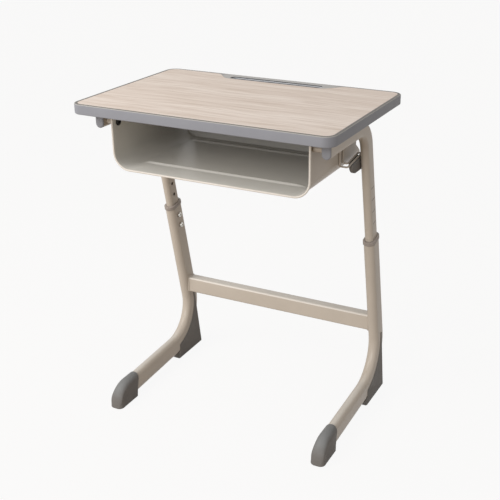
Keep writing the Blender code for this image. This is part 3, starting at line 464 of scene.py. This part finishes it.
# Collars. Moulded guide rings on the top ends of the lower tubes; their lip takes up the uprights' play.
# Nylon, in a warm grey close to the paint: dull and finely pebbled, with a painted highlight that makes
# raised edges a little lighter.
warm_nylon, tree, place = moulded_plastic("moulded_warm_grey_nylon", 0.5, 0.46, 0.60, relief=0.2)
_, tone = drifting_tone(tree, place, 0.040, 4.0, "#8E837B", "#978C83")
# Raised edges are mixed lighter: a painted highlight.
edge = edge_highlight_mask(tree, 0.6)
tone = blend(tree, edge, tone, "#A79D95")
set_shader(tree, {"Base Color": tone})

slide_half, slide_straight = 0.0100, 0.010
outer, skirt, bore = leg_half + 0.0016, leg_half + gap, slide_half + gap
outside = [(-0.0070, skirt), (-0.0070, outer - 0.0007), (-0.0068, outer - 0.0003), (-0.0063, outer)]
outside += [(-0.0012, outer), (-0.0008, outer - 0.0004), (-0.0002, outer - 0.0004), (0.0002, outer)]
outside += [(0.0020, outer), (0.0026, outer - 0.0003), (0.0030, outer - 0.0010)]
inside = [(0.0030, bore + 0.0006), (0.0025, bore), (gap, bore)]


def stacked_ovals(start, direction, profile, half_straight):
    """Flat-oval rings along a line from (distance, half width) pairs."""
    rings = []
    for distance, half_width in profile:
        rings += oval_rings([(start + distance * direction, direction)], half_width, half_straight)
    return rings


for name, side in sides:
    end = leg_point(side, leg_top)
    rings = stacked_ovals(end, leg_up, outside, leg_straight)
    rings += stacked_ovals(end, leg_up, inside, slide_straight)
    rings += stacked_ovals(end, leg_up, [(gap, skirt)], leg_straight)
    collar = add_piece("guide_collar_" + name, skin(rings, closed=True), warm_nylon)
    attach(collar, "standing_frame")
    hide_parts("collar_" + name)


# Height bolts. Zinc-plated button heads with a hexagon socket, two on the inner face of each lower tube.
# They are drawn back a little here, so that the uprights can slide.
# Zinc plating on turned steel: the eye sees a bright, cold and slightly milky metal with fine scuffs.
zinc_steel, tree, place = new_material("zinc_plated_steel")
drift, tone = drifting_tone(tree, place, 0.004, 5.0, "#B9B6B0", "#D6D3CC")
scuff = add_noise(tree, place, 0.0008, 3.0)
gloss = remap(tree, drift, 0.3, 0.7, 0.28, 0.42)
bump = add_node(tree, "Bump", {"Height": scuff, "Strength": 0.15, "Distance": 0.0001})
set_shader(tree, {"Metallic": 1.0, "Base Color": tone, "Roughness": gloss, "Normal": bump})


def hexagon(radius, height, steps=32):
    """Ring of points round a hexagon, as many as a circle has."""
    points = []
    for step in range(steps):
        turn = 2 * pi * step / steps
        off_flat = (turn + pi / 6) % (pi / 3) - pi / 6
        reach = radius * cos(pi / 6) / cos(off_flat)
        points.append((reach * cos(turn), reach * sin(turn), height))
    return points


def lay(piece, place, quarter_turns):
    """Turns a piece made along Z by quarter turns about Y and moves it to its place."""
    turn = Matrix.Rotation(quarter_turns * pi / 2, 4, "Y")
    piece.data.transform(Matrix.Translation(place) @ turn)


head, brim, crown, socket, socket_floor = 0.0028, 0.0006, 0.0034, 0.0026, 0.0012
shank, reach, chamfer, mouth, edge_break = 0.0040, 0.0047, 0.0005, 0.0031, 0.0002
for name, side in sides:
    for level in ("lower", "upper"):
        node = "height_bolt_" + name + "_" + level
        low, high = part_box(node)
        radius = (high.z - low.z) / 2
        profile = [(mouth, head)]
        for bend in quarter(8)[1:]:
            out = crown + (radius - crown) * sin(bend)
            profile.append((out, brim + (head - brim) * cos(bend)))
        profile += [(radius, edge_break), (radius - edge_break, 0.0), (shank, 0.0)]
        profile += [(shank, chamfer - reach), (shank - chamfer, -reach)]
        rings = [hexagon(socket, z, steps=36) for z in (socket_floor, head - edge_break / 2)]
        rings += [circle(r, z, steps=36) for r, z in profile]
        bolt = add_piece("button_bolt_" + name + "_" + level, skin(rings), zinc_steel)
        seat = high.x - reach if side > 0 else low.x + reach
        centre = (low + high) / 2
        lay(bolt, (seat, centre.y, centre.z), -side)
        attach(bolt, "bolt_" + name + "_" + level)
        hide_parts(node)


# Upper tubes. Arm under the top, rear bend and upright are one flat-oval tube, 20 by 40 mm, coated alike.
# Seven holes in the upright's inner face set the height, and two in the arm let a screwdriver up.
def upright_at(side, z):
    """Point of an upright's centre line at a height above the floor."""
    return leg_point(side, (z - bar_middle.z) / cos(lean))


arm_z = top_low.z - gap - slide_half - slide_straight
arm_front, arm_bend, slide_end = -0.1467, 0.062, first_hole - 0.025
access_depths, access_radius, access_drops = (-0.097, -0.047), 0.006, (0.040, 0.010)
for name, side in sides:
    arm_start = Vector((side * leg_x, arm_front + middle_y, arm_z))
    corners = (arm_start, upright_at(side, arm_z), leg_point(side, slide_end))
    stations = bent_path(corners, arm_bend, steps=26)
    tube = add_tube("slide_tube_" + name, stations, slide_half, slide_straight)
    drill_holes(tube, side, 7)
    for y in access_depths:
        start, end = [Vector((side * leg_x, y + middle_y, arm_z - drop)) for drop in access_drops]
        combine(tube, rod(start, end, access_radius))
    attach(tube, "moving_frame")
    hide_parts("upper_tube_" + name)


# Guide plugs. Moulded plugs pressed into the lower ends of the uprights, out of sight in the lower tubes.
# They are of the same dark plastic as the feet.
for name, _ in sides:
    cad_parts["tube_bush_" + name].data.materials[0] = dark_plastic


# Height marks. Four short strokes printed across each upright's outer face, about one hole pitch apart.
# Pad-printed ink: the eye sees a shade darker than the powder coat, thinned where the pad lifted.
print_ink, tree, place = new_material("pad_printed_ink")
thin, tone = drifting_tone(tree, place, 0.002, 4.0, "#7F756A", "#968B80")
gloss = remap(tree, thin, 0.3, 0.7, 0.5, 0.65)
set_shader(tree, {"Base Color": tone, "Roughness": gloss})

mark_length, mark_width, mark_round = 0.018, 0.0026, 0.0012
mark_heights = (0.4784, 0.5087, 0.5386, 0.5677)
square = Vector((0.0, leg_up.z, -leg_up.y))
for name, side in sides:
    for number, z in enumerate(mark_heights, start=1):
        centre = upright_at(side, z) + Vector((side * slide_half, 0.0, 0.0))
        rings = []
        for lift, shrink in ((-0.00005, 0.0), (0.00004, 0.0), (0.00008, 0.0003)):
            length, width = mark_length - shrink, mark_width - shrink
            outline = rounded_rectangle(length, width, mark_round - shrink / 2, steps=5)
            face = centre + Vector((side * lift, 0.0, 0.0))
            rings.append([face + square * a + leg_up * b for a, b in outline])
        mark = add_piece(f"height_mark_{name}_{number}", skin(rings), print_ink)
        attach(mark, "moving_frame")


# Arm caps. Moulded plugs that close the front ends of the arms, with a rounded face.
# Polypropylene, the same as the desktop's edge: a cool mid grey, dull and finely pebbled. Its rounded upper
# edges are painted paler as a painted highlight, its level faces are painted darker as painted shade, and
# the pen tray's level faces are drawn paler.
grey_plastic, tree, place = moulded_plastic("moulded_grey_polypropylene", 0.15, 0.42, 0.54, relief=0.2)
_, tone = drifting_tone(tree, place, 0.040, 4.0, "#87878C", "#8F8F94")
facing = facing_up(tree)
# Rounded upper edges are mixed paler: a painted highlight.
rising = remap(tree, facing, 0.25, 0.50, 0.0, 1.0)
falling = remap(tree, facing, 0.88, 0.98, 1.0, 0.0)
rim_highlight = add_node(tree, "Math", {0: rising, 1: falling}, operation="MULTIPLY")
tone = blend(tree, rim_highlight, tone, "#A39F99")
# Level faces are mixed darker: painted shade.
level = remap(tree, facing, 0.90, 0.99, 0.0, 1.0)
tone = blend(tree, level, tone, "#706C67")
# Level faces of the pen tray are mixed paler.
aside = add_node(tree, "Math", {0: add_node(tree, "SeparateXYZ", {0: place}, "X")}, operation="ABSOLUTE")
aside = remap(tree, aside, 0.14, 0.17, 1.0, 0.0)
behind = add_node(tree, "SeparateXYZ", {0: place}, "Y")
behind = remap(tree, behind, 0.148, 0.152, 0.0, 1.0)
tray = add_node(tree, "Math", {0: aside, 1: behind}, operation="MULTIPLY")
tray = add_node(tree, "Math", {0: tray, 1: level}, operation="MULTIPLY")
tone = blend(tree, tray, tone, "#ACA9A5")
set_shader(tree, {"Base Color": tone})

for name, side in sides:
    low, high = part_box("arm_cap_" + name)
    length = high.y - low.y
    profile = [(0.0, 0.0055), (0.0001, 0.0066), (0.0005, 0.0079), (0.0012, 0.0091), (0.0021, 0.0098)]
    profile += [(0.0030, slide_half), (0.0040, slide_half), (0.0040, 0.0082)]
    profile += [(length - 0.0006, 0.0082), (length, 0.0076)]
    face = Vector((side * leg_x, low.y, arm_z))
    rings = stacked_ovals(face, Vector((0.0, 1.0, 0.0)), profile, slide_straight)
    cap = add_piece("arm_plug_" + name, skin(rings), grey_plastic)
    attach(cap, "moving_frame")
    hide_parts("arm_cap_" + name)


# Bag hooks. A moulded tongue on each upright's inner face, with a straight top edge, a lip inside and a
# round nose, which keeps a bag's strap off the upright. One pan-head screw holds it.
def round_edges(piece, width):
    """Rounds every real edge of a piece."""
    bevel = piece.modifiers.new("round", "BEVEL")
    bevel.width = width
    bevel.segments = 3
    bevel.limit_method = "ANGLE"
    bevel.angle_limit = radians(40)
    settle(piece)


pan_height, thread, thread_root, thread_step = 0.0028, 0.0024, 0.0021, 0.0008


def add_screw(name, length):
    """Zinc-plated pan-head screw along Z, with its seat at the origin and a cross recess in its head."""
    profile = [(0.0004, -pan_height), (0.0016, -pan_height), (0.0030, -0.0026), (0.0040, -0.0021)]
    profile += [(0.0046, -0.0012), (0.0048, -0.0004), (0.0047, 0.0), (thread, 0.0)]
    turns = round(length / thread_step)
    profile += [(thread if step % 2 else thread_root, length * step / turns) for step in range(1, turns)]
    profile.append((0.0016, length))
    screw = add_piece(name, skin([circle(radius, z) for radius, z in profile]), zinc_steel)
    for wide, deep in ((0.0052, 0.0010), (0.0010, 0.0052)):
        blade = rounded_rectangle(wide, deep, 0.0003, steps=3)
        combine(screw, skin([[(x, y, z) for x, y in blade] for z in (-0.0040, -0.0012)]))
    return screw


tongue_reach, tongue_rise, tongue_thickness, tongue_round = 0.0586, 0.0078, 0.0085, 0.0020
root_radius, tip_radius, screw_drop, screw_forward = 0.0148, 0.0226, 0.1092, 0.003
lip_start, lip_top, lip_bottom, hook_screw = 0.010, -0.0005, -0.0065, 0.0125
tongue_length = hypot(tongue_reach, tongue_rise)
touch = atan2(tongue_rise, -tongue_reach) - acos(root_radius / tongue_length)
tongue_slope = tan(touch - pi / 2)
for name, side in sides:
    screw = upright_at(side, top_low.z - screw_drop) - Vector((0.0, screw_forward, 0.0))
    tip = screw + Vector((0.0, -tongue_reach, tongue_rise))
    outline = arc(tip.y + tip_radius, tip.z, tip_radius, pi, pi / 2, steps=28)
    outline += arc(screw.y, screw.z, root_radius, 1.5 * pi, pi / 2 + touch, steps=28)
    face = side * (leg_x - slide_half - gap)
    rings = [[(x, y, z) for y, z in outline] for x in (face, face - side * tongue_thickness)]
    tongue = add_piece("bag_tongue_" + name, skin(rings), dark_plastic)
    round_edges(tongue, tongue_round)
    rings = []
    for x, inset in ((0.0060, 0.0), (0.0123, 0.0), (0.0132, 0.0004), (0.0135, 0.0012)):
        near, far = lip_start + inset, tongue_reach - inset
        upper, lower = lip_top - inset, lip_bottom + inset
        ring = ((near, upper), (far, upper), (far, lower), (near, lower))
        rings.append([(face - side * x, tip.y + y, tip.z + tongue_slope * y + level) for y, level in ring])
    combine(tongue, skin(rings), "UNION")
    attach(tongue, "moving_frame")
    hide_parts("hook_tongue_" + name)

    fixing = add_screw("tongue_screw_" + name, hook_screw)
    lay(fixing, (face - side * (tongue_thickness + gap), screw.y, screw.z), side)
    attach(fixing, "moving_frame")
    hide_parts("hook_screw_" + name)


# Book box. One sheet of 1.2 mm steel pressed into a tray, open in front and above, with a rolled front edge,
# two raised beads across its floor, notched rear corners and a rear flange that is screwed to the top.
# Powder coat inside the box: drawn paler and greyer than outside as painted light, and darker to the back
# as painted shade.
inner_coat, tree, place, _ = satin_coat("inner_powder_coat_painted_light", 0.1)
# The tone below goes from pale at the front to dark at the back: painted shade of the box's depth.
depth = add_node(tree, "SeparateXYZ", {0: place}, "Y")
cloud = add_noise(tree, place, 0.05, 4.0)
reach = add_node(tree, "Math", {0: cloud, 1: 0.03, 2: depth}, operation="MULTIPLY_ADD")
reach = remap(tree, reach, -0.10, 0.13, 0.0, 1.0)
tone = blend(tree, reach, "#D0CDC6", "#A09D98")
set_shader(tree, {"Base Color": tone})

sheet, roll, roll_steps, box_corner = 0.0012, 0.0023, 24, 0.036
box_half, box_top, box_floor = 0.2327, top_low.z - gap, top_low.z - 0.1255
box_front, box_back = -0.153 + middle_y, 0.139 + middle_y
bead_depths, bead_half, bead_height, bead_step = (box_back - 0.032, box_front + 0.066), 0.009, 0.003, 0.0012
bead_margin, bead_ramp, front_rows = 0.003, 0.010, (0.040, 0.012)
flange_half, flange_back = 0.150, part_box("book_box")[1].y
notch_length, notch_width, notch_sill, notch_foot, clear = 0.0405, 0.026, 0.0463, 0.014, 0.010


def box_line(offset, lift):
    """Points down one wall of the box, along its floor and up the other wall, moved out by an offset."""
    half, bottom, radius = box_half + offset, box_floor - offset, box_corner + offset
    flat, wall = half - radius, box_top - bottom - radius
    left = [(-half, box_top - wall * step / 4) for step in range(4)]
    for angle in quarter(16):
        left.append((-flat - radius * cos(angle), bottom + radius - radius * sin(angle)))
    middle = []
    for step in range(1, 40):
        x = -flat + 2 * flat * step / 40
        end = min(1.0, max(0.0, (flat - bead_margin - abs(x)) / bead_ramp))
        middle.append((x, bottom + lift * end * end * (3 - 2 * end)))
    return left + middle + [(-x, z) for x, z in reversed(left)]


def bead_lift(y):
    """Height of the floor's raised beads at a depth."""
    share = min(abs(y - bead) for bead in bead_depths) / bead_half
    return bead_height * (0.5 + 0.5 * cos(pi * share)) if share < 1 else 0.0


depths = [box_back - sheet]
for bead in bead_depths:
    depths += [bead + (8 - step) * bead_step for step in range(17)]
depths += [box_front + row for row in front_rows]
profile = [(-sheet, y) for y in depths]
for step in range(roll_steps + 1):
    angle = pi + (pi + acos((sheet - roll) / roll)) * step / roll_steps
    profile.append((roll - sheet + roll * cos(angle), box_front + roll + roll * sin(angle)))
profile += [(0.0, y) for y in depths[::-1][1:-1]] + [(0.0, box_back)]

shape = bmesh.new()
rows = []
for offset, y in profile:
    rows.append([shape.verts.new((x, y, z)) for x, z in box_line(offset, bead_lift(y))])
for number, (first, second) in enumerate(zip(rows, rows[1:])):
    # Faces inside take the paler inner coat, which holds painted light; the rolled front edge takes the pale
    # coat, a painted highlight.
    coat = 1 if number < len(depths) else 2 if number < len(depths) + roll_steps else 0
    for index in range(len(first) - 1):
        face = shape.faces.new((first[index], first[index + 1], second[index + 1], second[index]))
        face.material_index = coat
flange = []
for y in (box_back, flange_back):
    for z in (box_top, box_top - sheet):
        flange.append([shape.verts.new((x, y, z)) for x in (-flange_half, flange_half)])
near_top, near_low, far_top, far_low = flange
for first, second in ((near_low, far_low), (far_low, far_top)):
    shape.faces.new((first[0], first[1], second[1], second[0]))
for end in (0, 1):
    shape.faces.new((near_low[end], far_low[end], far_top[end], near_top[end]))
shape.faces.new(rows[0]).material_index = 1
shape.faces.new(rows[-1] + [near_top[1], near_low[1], near_low[0], near_top[0]])
top_edge = [row[0] for row in rows] + [near_top[0], far_top[0], far_top[1], near_top[1]]
shape.faces.new(top_edge + [row[-1] for row in reversed(rows)])
box = add_piece("steel_book_box", shape, powder_coat)
box.data.materials.append(inner_coat)
box.data.materials.append(highlight_coat)
notch = [(box_back - notch_length, box_top + clear), (box_back - notch_length, box_floor + notch_sill)]
notch += [(box_back + sheet, box_floor + notch_foot), (box_back + sheet, box_top + clear)]
for _, side in sides:
    ends = (box_half - notch_width, box_half + clear)
    combine(box, skin([[(side * x, y, z) for y, z in notch] for x in ends]))
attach(box, "moving_frame")
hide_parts("book_box")


# Box fixings. Black flange bolts through the walls of the box, with painted spacers out to the arms
# and zinc-plated rivet nuts inside the arms.
# Black oxide on steel: the eye sees a thin brown-black skin with an oily, uneven sheen.
black_steel, tree, place = new_material("black_oxide_steel")
drift, tone = drifting_tone(tree, place, 0.003, 4.0, "#191715", "#2B2825")
gloss = remap(tree, drift, 0.3, 0.7, 0.38, 0.55)
set_shader(tree, {"Metallic": 0.6, "Base Color": tone, "Roughness": gloss})


def drive_up(name, node):
    """Screw driven up from below in the place of a node."""
    low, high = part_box(node)
    screw = add_screw(name, high.z - low.z - pan_height)
    lay(screw, ((low.x + high.x) / 2, (low.y + high.y) / 2, low.z + pan_height), 0)
    return screw


flange_head, spacer_radius, spacer_bore, spacer_chamfer = 0.0035, 0.0070, 0.0033, 0.0004
for name, side in sides:
    for end in ("front", "back"):
        corner = name + "_" + end
        low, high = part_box("box_bolt_" + corner)
        centre = (low + high) / 2
        length = high.x - low.x - flange_head
        profile = [(0.0031, flange_head), (0.0050, 0.0033), (0.0064, 0.0027), (0.0071, 0.0019)]
        profile += [(0.0088, 0.0013), (0.0090, 0.0009), (0.0090, 0.0002), (0.0088, 0.0)]
        profile += [(0.0030, 0.0), (0.0030, 0.0006 - length), (0.0025, -length)]
        rings = [hexagon(0.0025, 0.0015), hexagon(0.0025, 0.0033)] + [circle(r, z) for r, z in profile]
        bolt = add_piece("wall_bolt_" + corner, skin(rings), black_steel)
        seat = low.x + flange_head if side > 0 else high.x - flange_head
        lay(bolt, (seat, centre.y, centre.z), -side)
        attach(bolt, "moving_frame")
        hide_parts("box_bolt_" + corner)

        low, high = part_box("box_spacer_" + corner)
        span, shoulder = high.x - low.x, spacer_radius - spacer_chamfer
        profile = [(spacer_bore, 0.0), (shoulder, 0.0), (spacer_radius, spacer_chamfer)]
        profile += [(radius, span - z) for radius, z in reversed(profile)]
        rings = [circle(r, z) for r, z in profile]
        spacer = add_piece("arm_spacer_" + corner, skin(rings, closed=True), powder_coat)
        lay(spacer, (low.x, centre.y, centre.z), 1)
        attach(spacer, "moving_frame")
        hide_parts("box_spacer_" + corner)
        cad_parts["box_nut_" + corner].data.materials[0] = zinc_steel

    screw = drive_up("flange_fixing_" + name, "flange_screw_" + name)
    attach(screw, "moving_frame")
    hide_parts("flange_screw_" + name)


# Strap loops. A bent 4 mm wire on each side wall of the box, welded at its two upper ends and painted alike.
# It runs back past the upright in two parallel lines just above the tongue, for a bag's strap.
wire, wire_bend, loop_width, loop_inset = 0.002, 0.0038, 0.018, 0.014
for name, side in sides:
    low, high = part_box("strap_loop_" + name)
    wall, out = side * (box_half + wire + gap), side * (leg_x - loop_inset)
    near = out - side * (2 * wire_bend + gap)
    front, end, bottom = low.y + wire, high.y - wire, low.z + wire
    back = front + loop_width
    back_z, end_z = bottom + tongue_slope * loop_width, bottom + tongue_slope * (end - front)
    corners = ((wall, front, high.z), (wall, front, bottom), (out, front, bottom), (out, end, end_z),
               (near, end, end_z), (near, back, back_z), (wall, back, back_z), (wall, back, high.z))
    rings = []
    stations = bent_path(corners, wire_bend, steps=8)
    across = Vector((0.0, 1.0, 0.0))
    previous = stations[0][1]
    for point, direction in stations:
        across = previous.rotation_difference(direction) @ across
        previous = direction
        other = direction.cross(across)
        rings.append([point + across * a + other * b for a, b, _ in circle(wire, 0.0, steps=16)])
    loop = add_piece("wire_loop_" + name, skin(rings), powder_coat)
    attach(loop, "moving_frame")
    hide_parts("strap_loop_" + name)


# Desktop board. Chipboard core with a wood-grain sheet glued on top and a plain balancing sheet below.
# Only the wood-grain face is seen; the rest is closed in by the moulded edge.
# Chipboard: the eye sees coarse straw-coloured chips, dry and dull.
chipboard, tree, place = new_material("raw_chipboard")
chips = add_node(tree, "TexVoronoi", {"Vector": place, "Scale": 1 / 0.003}, "Distance")
tone = blend(tree, chips, "#C4A77E", "#9C7F58")
bump = add_node(tree, "Bump", {"Height": chips, "Strength": 0.4, "Distance": 0.0004})
set_shader(tree, {"Base Color": tone, "Roughness": 0.9, "Normal": bump})
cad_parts["desktop_core"].data.materials[0] = chipboard

# Melamine backing paper: the eye sees an even, off-white, faintly fibrous sheet.
backing, tree, place = new_material("melamine_backing")
fibre, tone = drifting_tone(tree, place, 0.006, 6.0, "#CBC8C0", "#D8D5CE")
gloss = remap(tree, fibre, 0.3, 0.7, 0.55, 0.7)
set_shader(tree, {"Base Color": tone, "Roughness": gloss})
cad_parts["desktop_backing"].data.materials[0] = backing


# Wood-grain laminate: melamine paper printed with a pale wood and pressed with a matt face. The eye sees
# broad soft bands, short streaks and fine pores that run from left to right and sway a little.
# The streaks are 1 to 2 mm wide; 4 mm is drawn so that they show from across the desk.
def along_grain(tree, grain, length, width, detail):
    """Noise with spots of a length along the grain and a width across it."""
    stretched = add_node(tree, "Mapping", {"Vector": grain, "Scale": (1 / length, 1 / width, 1.0)})
    return add_noise(tree, stretched, 1.0, detail)


laminate, tree, place = new_material("pale_wood_laminate")
sway = add_node(tree, "TexNoise", {"Vector": place, "Scale": 1 / 0.20, "Detail": 2.0}, "Color")
sway = add_node(tree, "VectorMath", {0: sway, 1: (0.0, 0.03, 0.0)}, operation="MULTIPLY")
grain = add_node(tree, "VectorMath", {0: place, 1: sway}, operation="ADD")
bands = along_grain(tree, grain, 0.45, 0.030, 3.0)
streaks = along_grain(tree, grain, 0.11, 0.004, 4.0)
pores = along_grain(tree, grain, 0.020, 0.0012, 2.0)
band = remap(tree, bands, 0.30, 0.70, 0.0, 1.0)
tone = blend(tree, band, "#D6C6B9", "#E6D9CE")
streak = remap(tree, streaks, 0.46, 0.68, 0.0, 0.65)
tone = blend(tree, streak, tone, "#C2AF9F")
pore = remap(tree, pores, 0.60, 0.75, 0.0, 0.35)
tone = blend(tree, pore, tone, "#B8A391")
gloss = remap(tree, streaks, 0.3, 0.7, 0.56, 0.66)
bump = add_node(tree, "Bump", {"Height": pores, "Strength": 0.1, "Distance": 0.0001})
set_shader(tree, {"Specular IOR Level": 0.1, "Base Color": tone, "Roughness": gloss, "Normal": bump})
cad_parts["desktop_laminate"].data.materials[0] = laminate


# Moulded edge. A grey plastic rim cast round the board in one go, rounded above and below.
# At the back it widens into a pen tray with a shallow trough, hollow underneath.
top_width, top_depth, top_corner = 0.606, 0.404, 0.026
edge_width, edge_round, through = 0.007, 0.002, 0.005
tray_front, tray_wall, tray_rim = top_depth / 2 - 0.044, 0.003, 0.0015
tray_front_half, tray_back_half = 0.121, 0.166
trough_length, trough_width, trough_depth = 0.236, 0.0215, 0.008
trough_corner, trough_bend, trough_steep = 0.0107, 0.0105, 80
trough_y = tray_front + tray_rim + trough_width / 2 + middle_y
hollow_width, hollow_roof = 0.034, top_high.z - 0.011
hollow_y = tray_front + tray_wall + hollow_width / 2 + middle_y


def board_outline():
    """Outline of the board inside the edge: straight sides, round corners, a notch for the pen tray."""
    inside = (top_width - 2 * edge_width, top_depth - 2 * edge_width, top_corner - edge_width)
    outline = rounded_rectangle(*inside, steps=14)
    back = top_depth / 2 - edge_width
    notch = []
    for step in range(25):
        share = step / 24
        ease = share * share * (3 - 2 * share)
        x = tray_back_half + share * (tray_front_half - tray_back_half)
        notch.append((x, back + ease * (tray_front - back)))
    outline = outline[:15] + notch + [(-x, y) for x, y in reversed(notch)] + outline[15:]
    return [(x, y + middle_y) for x, y in outline]


levels = [(b, top_low.z + a) for a, b in corner_round(edge_round, 8)]
levels += [(a, top_high.z - b) for a, b in corner_round(edge_round, 10)]
rings = []
for inset, z in levels:
    outline = rounded_rectangle(top_width - 2 * inset, top_depth - 2 * inset, top_corner - inset, steps=20)
    rings.append([(x, y + middle_y, z) for x, y in outline])
rim = add_piece("moulded_edge", skin(rings), grey_plastic)
ends = (top_low.z - through, top_high.z + through)
combine(rim, skin([[(x, y, z) for x, y in board_outline()] for z in ends]))
rings = []
for step in range(12):
    angle = radians(trough_steep - trough_steep * step / 11)
    inset = trough_bend * (1 - cos(angle))
    length, width = trough_length - 2 * inset, trough_width - 2 * inset
    outline = rounded_rectangle(length, width, trough_corner - inset, steps=12)
    rings.append([(x, y + trough_y, top_high.z - trough_depth * sin(angle)) for x, y in outline])
rings.append([(x, y, top_high.z + through) for x, y, _ in rings[-1]])
combine(rim, skin(rings))

# Polypropylene in the trough: shinier, because its mould is polished. Its walls are painted dark as painted
# shade, with one pale line along the far wall as a painted highlight.
trough_plastic, tree, place = new_material("polished_grey_polypropylene")
height = add_node(tree, "SeparateXYZ", {0: place}, "Z")
smudge = add_noise(tree, place, 0.015, 4.0)
pebble = add_noise(tree, place, 0.0012, 3.0)
# A band near the top of the far wall is mixed pale, a painted highlight; the rest of the trough is painted
# dark as painted shade.
painted_wall_highlight = add_node(tree, "Math", {0: smudge, 1: 0.001, 2: height}, operation="MULTIPLY_ADD")
painted_wall_highlight = add_node(tree, "Math", {0: painted_wall_highlight, 1: top_high.z - 0.0023}, operation="SUBTRACT")
painted_wall_highlight = add_node(tree, "Math", {0: painted_wall_highlight}, operation="ABSOLUTE")
painted_wall_highlight = remap(tree, painted_wall_highlight, 0.0003, 0.0012, 1.0, 0.0)
tone = blend(tree, painted_wall_highlight, "#47484B", "#B0B0B2")
gloss = remap(tree, smudge, 0.3, 0.7, 0.28, 0.40)
bump = add_node(tree, "Bump", {"Height": pebble, "Strength": 0.2, "Distance": 0.0002})
set_shader(tree, {"Specular IOR Level": 0.15, "Base Color": tone, "Roughness": gloss, "Normal": bump})
rim.data.materials.append(trough_plastic)
for face in rim.data.polygons:
    below = top_high.z - face.center.z
    in_plan = abs(face.center.x) < trough_length / 2 and abs(face.center.y - trough_y) < trough_width / 2
    if in_plan and 0.0002 < below < trough_depth + 0.0005:
        face.material_index = 1

hollow = rounded_rectangle(trough_length, hollow_width, tray_wall, steps=6)
ends = (top_low.z - through, hollow_roof)
combine(rim, skin([[(x, y + hollow_y, z) for x, y in hollow] for z in ends]))
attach(rim, "moving_frame")
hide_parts("edge_band")


# Top screws. Four pan-head screws driven up through the arms into the board.
# They are the same screws as those of the bag hooks, in zinc-plated steel.
for name, _ in sides:
    for end in ("front", "back"):
        screw = drive_up("board_screw_" + name + "_" + end, "top_screw_" + name + "_" + end)
        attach(screw, "moving_frame")
        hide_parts("top_screw_" + name + "_" + end)


# Studio. A seamless pale floor under an even sky, a broad soft lamp high in front to the left,
# a sun low in front that reaches into the box, and a faint one from the right.
def seen_directly(tree):
    """1 for what the camera sees, straight or by a mirror or glass, and 0 for light that bounces."""
    names = ("Is Camera Ray", "Is Glossy Ray", "Is Transmission Ray")
    camera_ray, glossy_ray, clear_ray = [add_node(tree, "LightPath", {}, name) for name in names]
    seen = add_node(tree, "Math", {0: camera_ray, 1: glossy_ray}, operation="MAXIMUM")
    return add_node(tree, "Math", {0: seen, 1: clear_ray}, operation="MAXIMUM")


def add_lamp(light, back):
    """Puts a lamp into the scene that shines against a direction."""
    lamp = bpy.data.objects.new(light.name, light)
    lamp.rotation_euler = Vector(back).to_track_quat("Z", "Y").to_euler()
    bpy.context.scene.collection.objects.link(lamp)
    return lamp


# White paper: the eye sees it almost as bright as the backdrop, with a faint shadow under the desk.
paper = bpy.data.materials.new("white_paper_floor")
paper.use_nodes = True
tree = paper.node_tree
share = add_node(tree, "Math", {0: seen_directly(tree), 1: 0.92}, operation="MULTIPLY")
matt = add_node(tree, "BsdfDiffuse", {"Color": "#BBAFA1"})
glow = add_node(tree, "Emission", {"Color": "#FFFFFF", "Strength": 1.0})
mixed = add_node(tree, "MixShader", {0: share, 1: matt, 2: glow})
fill(tree, tree.nodes["Material Output"], {"Surface": mixed})
floor_shape = bmesh.new()
bmesh.ops.create_grid(floor_shape, x_segments=1, y_segments=1, size=40.0)
floor = add_piece("floor", floor_shape, paper)

world = bpy.data.worlds.new("studio")
world.use_nodes = True
bpy.context.scene.world = world
tree = world.node_tree
sky = add_node(tree, "Background", {"Color": "#FFFFFF", "Strength": 0.46})
backdrop = add_node(tree, "Background", {"Color": "#FFFFFF", "Strength": 1.0})
mixed = add_node(tree, "MixShader", {0: seen_directly(tree), 1: sky, 2: backdrop})
fill(tree, tree.nodes["World Output"], {"Surface": mixed})

key = bpy.data.lights.new("key", "AREA")
key.energy = 26.0
key.size = 1.2
key_place, key_target = Vector((-1.15, -1.25, 1.85)), Vector((0.0, 0.0, 0.5))
add_lamp(key, key_place - key_target).location = key_place
suns = (("fill", 1.4, 24, (-0.05, -0.94, 0.33)), ("side", 0.10, 40, (0.85, -0.45, 0.25)))
for name, energy, spread, back in suns:
    sun = bpy.data.lights.new(name, "SUN")
    sun.energy = energy
    sun.angle = radians(spread)
    add_lamp(sun, back)


# Camera. Standing height, in front and to the right, with the lens axis off centre as in a cropped picture.
# Its place and angles are worked out from the corners of the top and the feet.
eye_place = (0.93708, -1.72007, 1.23373)
yaw, pitch, roll_angle = 0.44141, 0.39117, 0.00237
forward = Vector((-sin(yaw) * cos(pitch), cos(yaw) * cos(pitch), -sin(pitch)))
level = Vector((cos(yaw), sin(yaw), 0.0))
upright = level.cross(forward)
right = level * cos(roll_angle) + upright * sin(roll_angle)
up = upright * cos(roll_angle) - level * sin(roll_angle)
eye = bpy.data.cameras.new("eye")
eye.sensor_width = 36.0
eye.lens = 65.924
eye.shift_x = -0.08636
eye.shift_y = -0.02162
eye.clip_end = 200.0
camera = bpy.data.objects.new("eye", eye)
camera.matrix_world = Matrix.Translation(eye_place) @ Matrix((right, up, -forward)).transposed().to_4x4()
bpy.context.scene.collection.objects.link(camera)
bpy.context.scene.camera = camera
bpy.context.scene.view_settings.view_transform = "Standard"
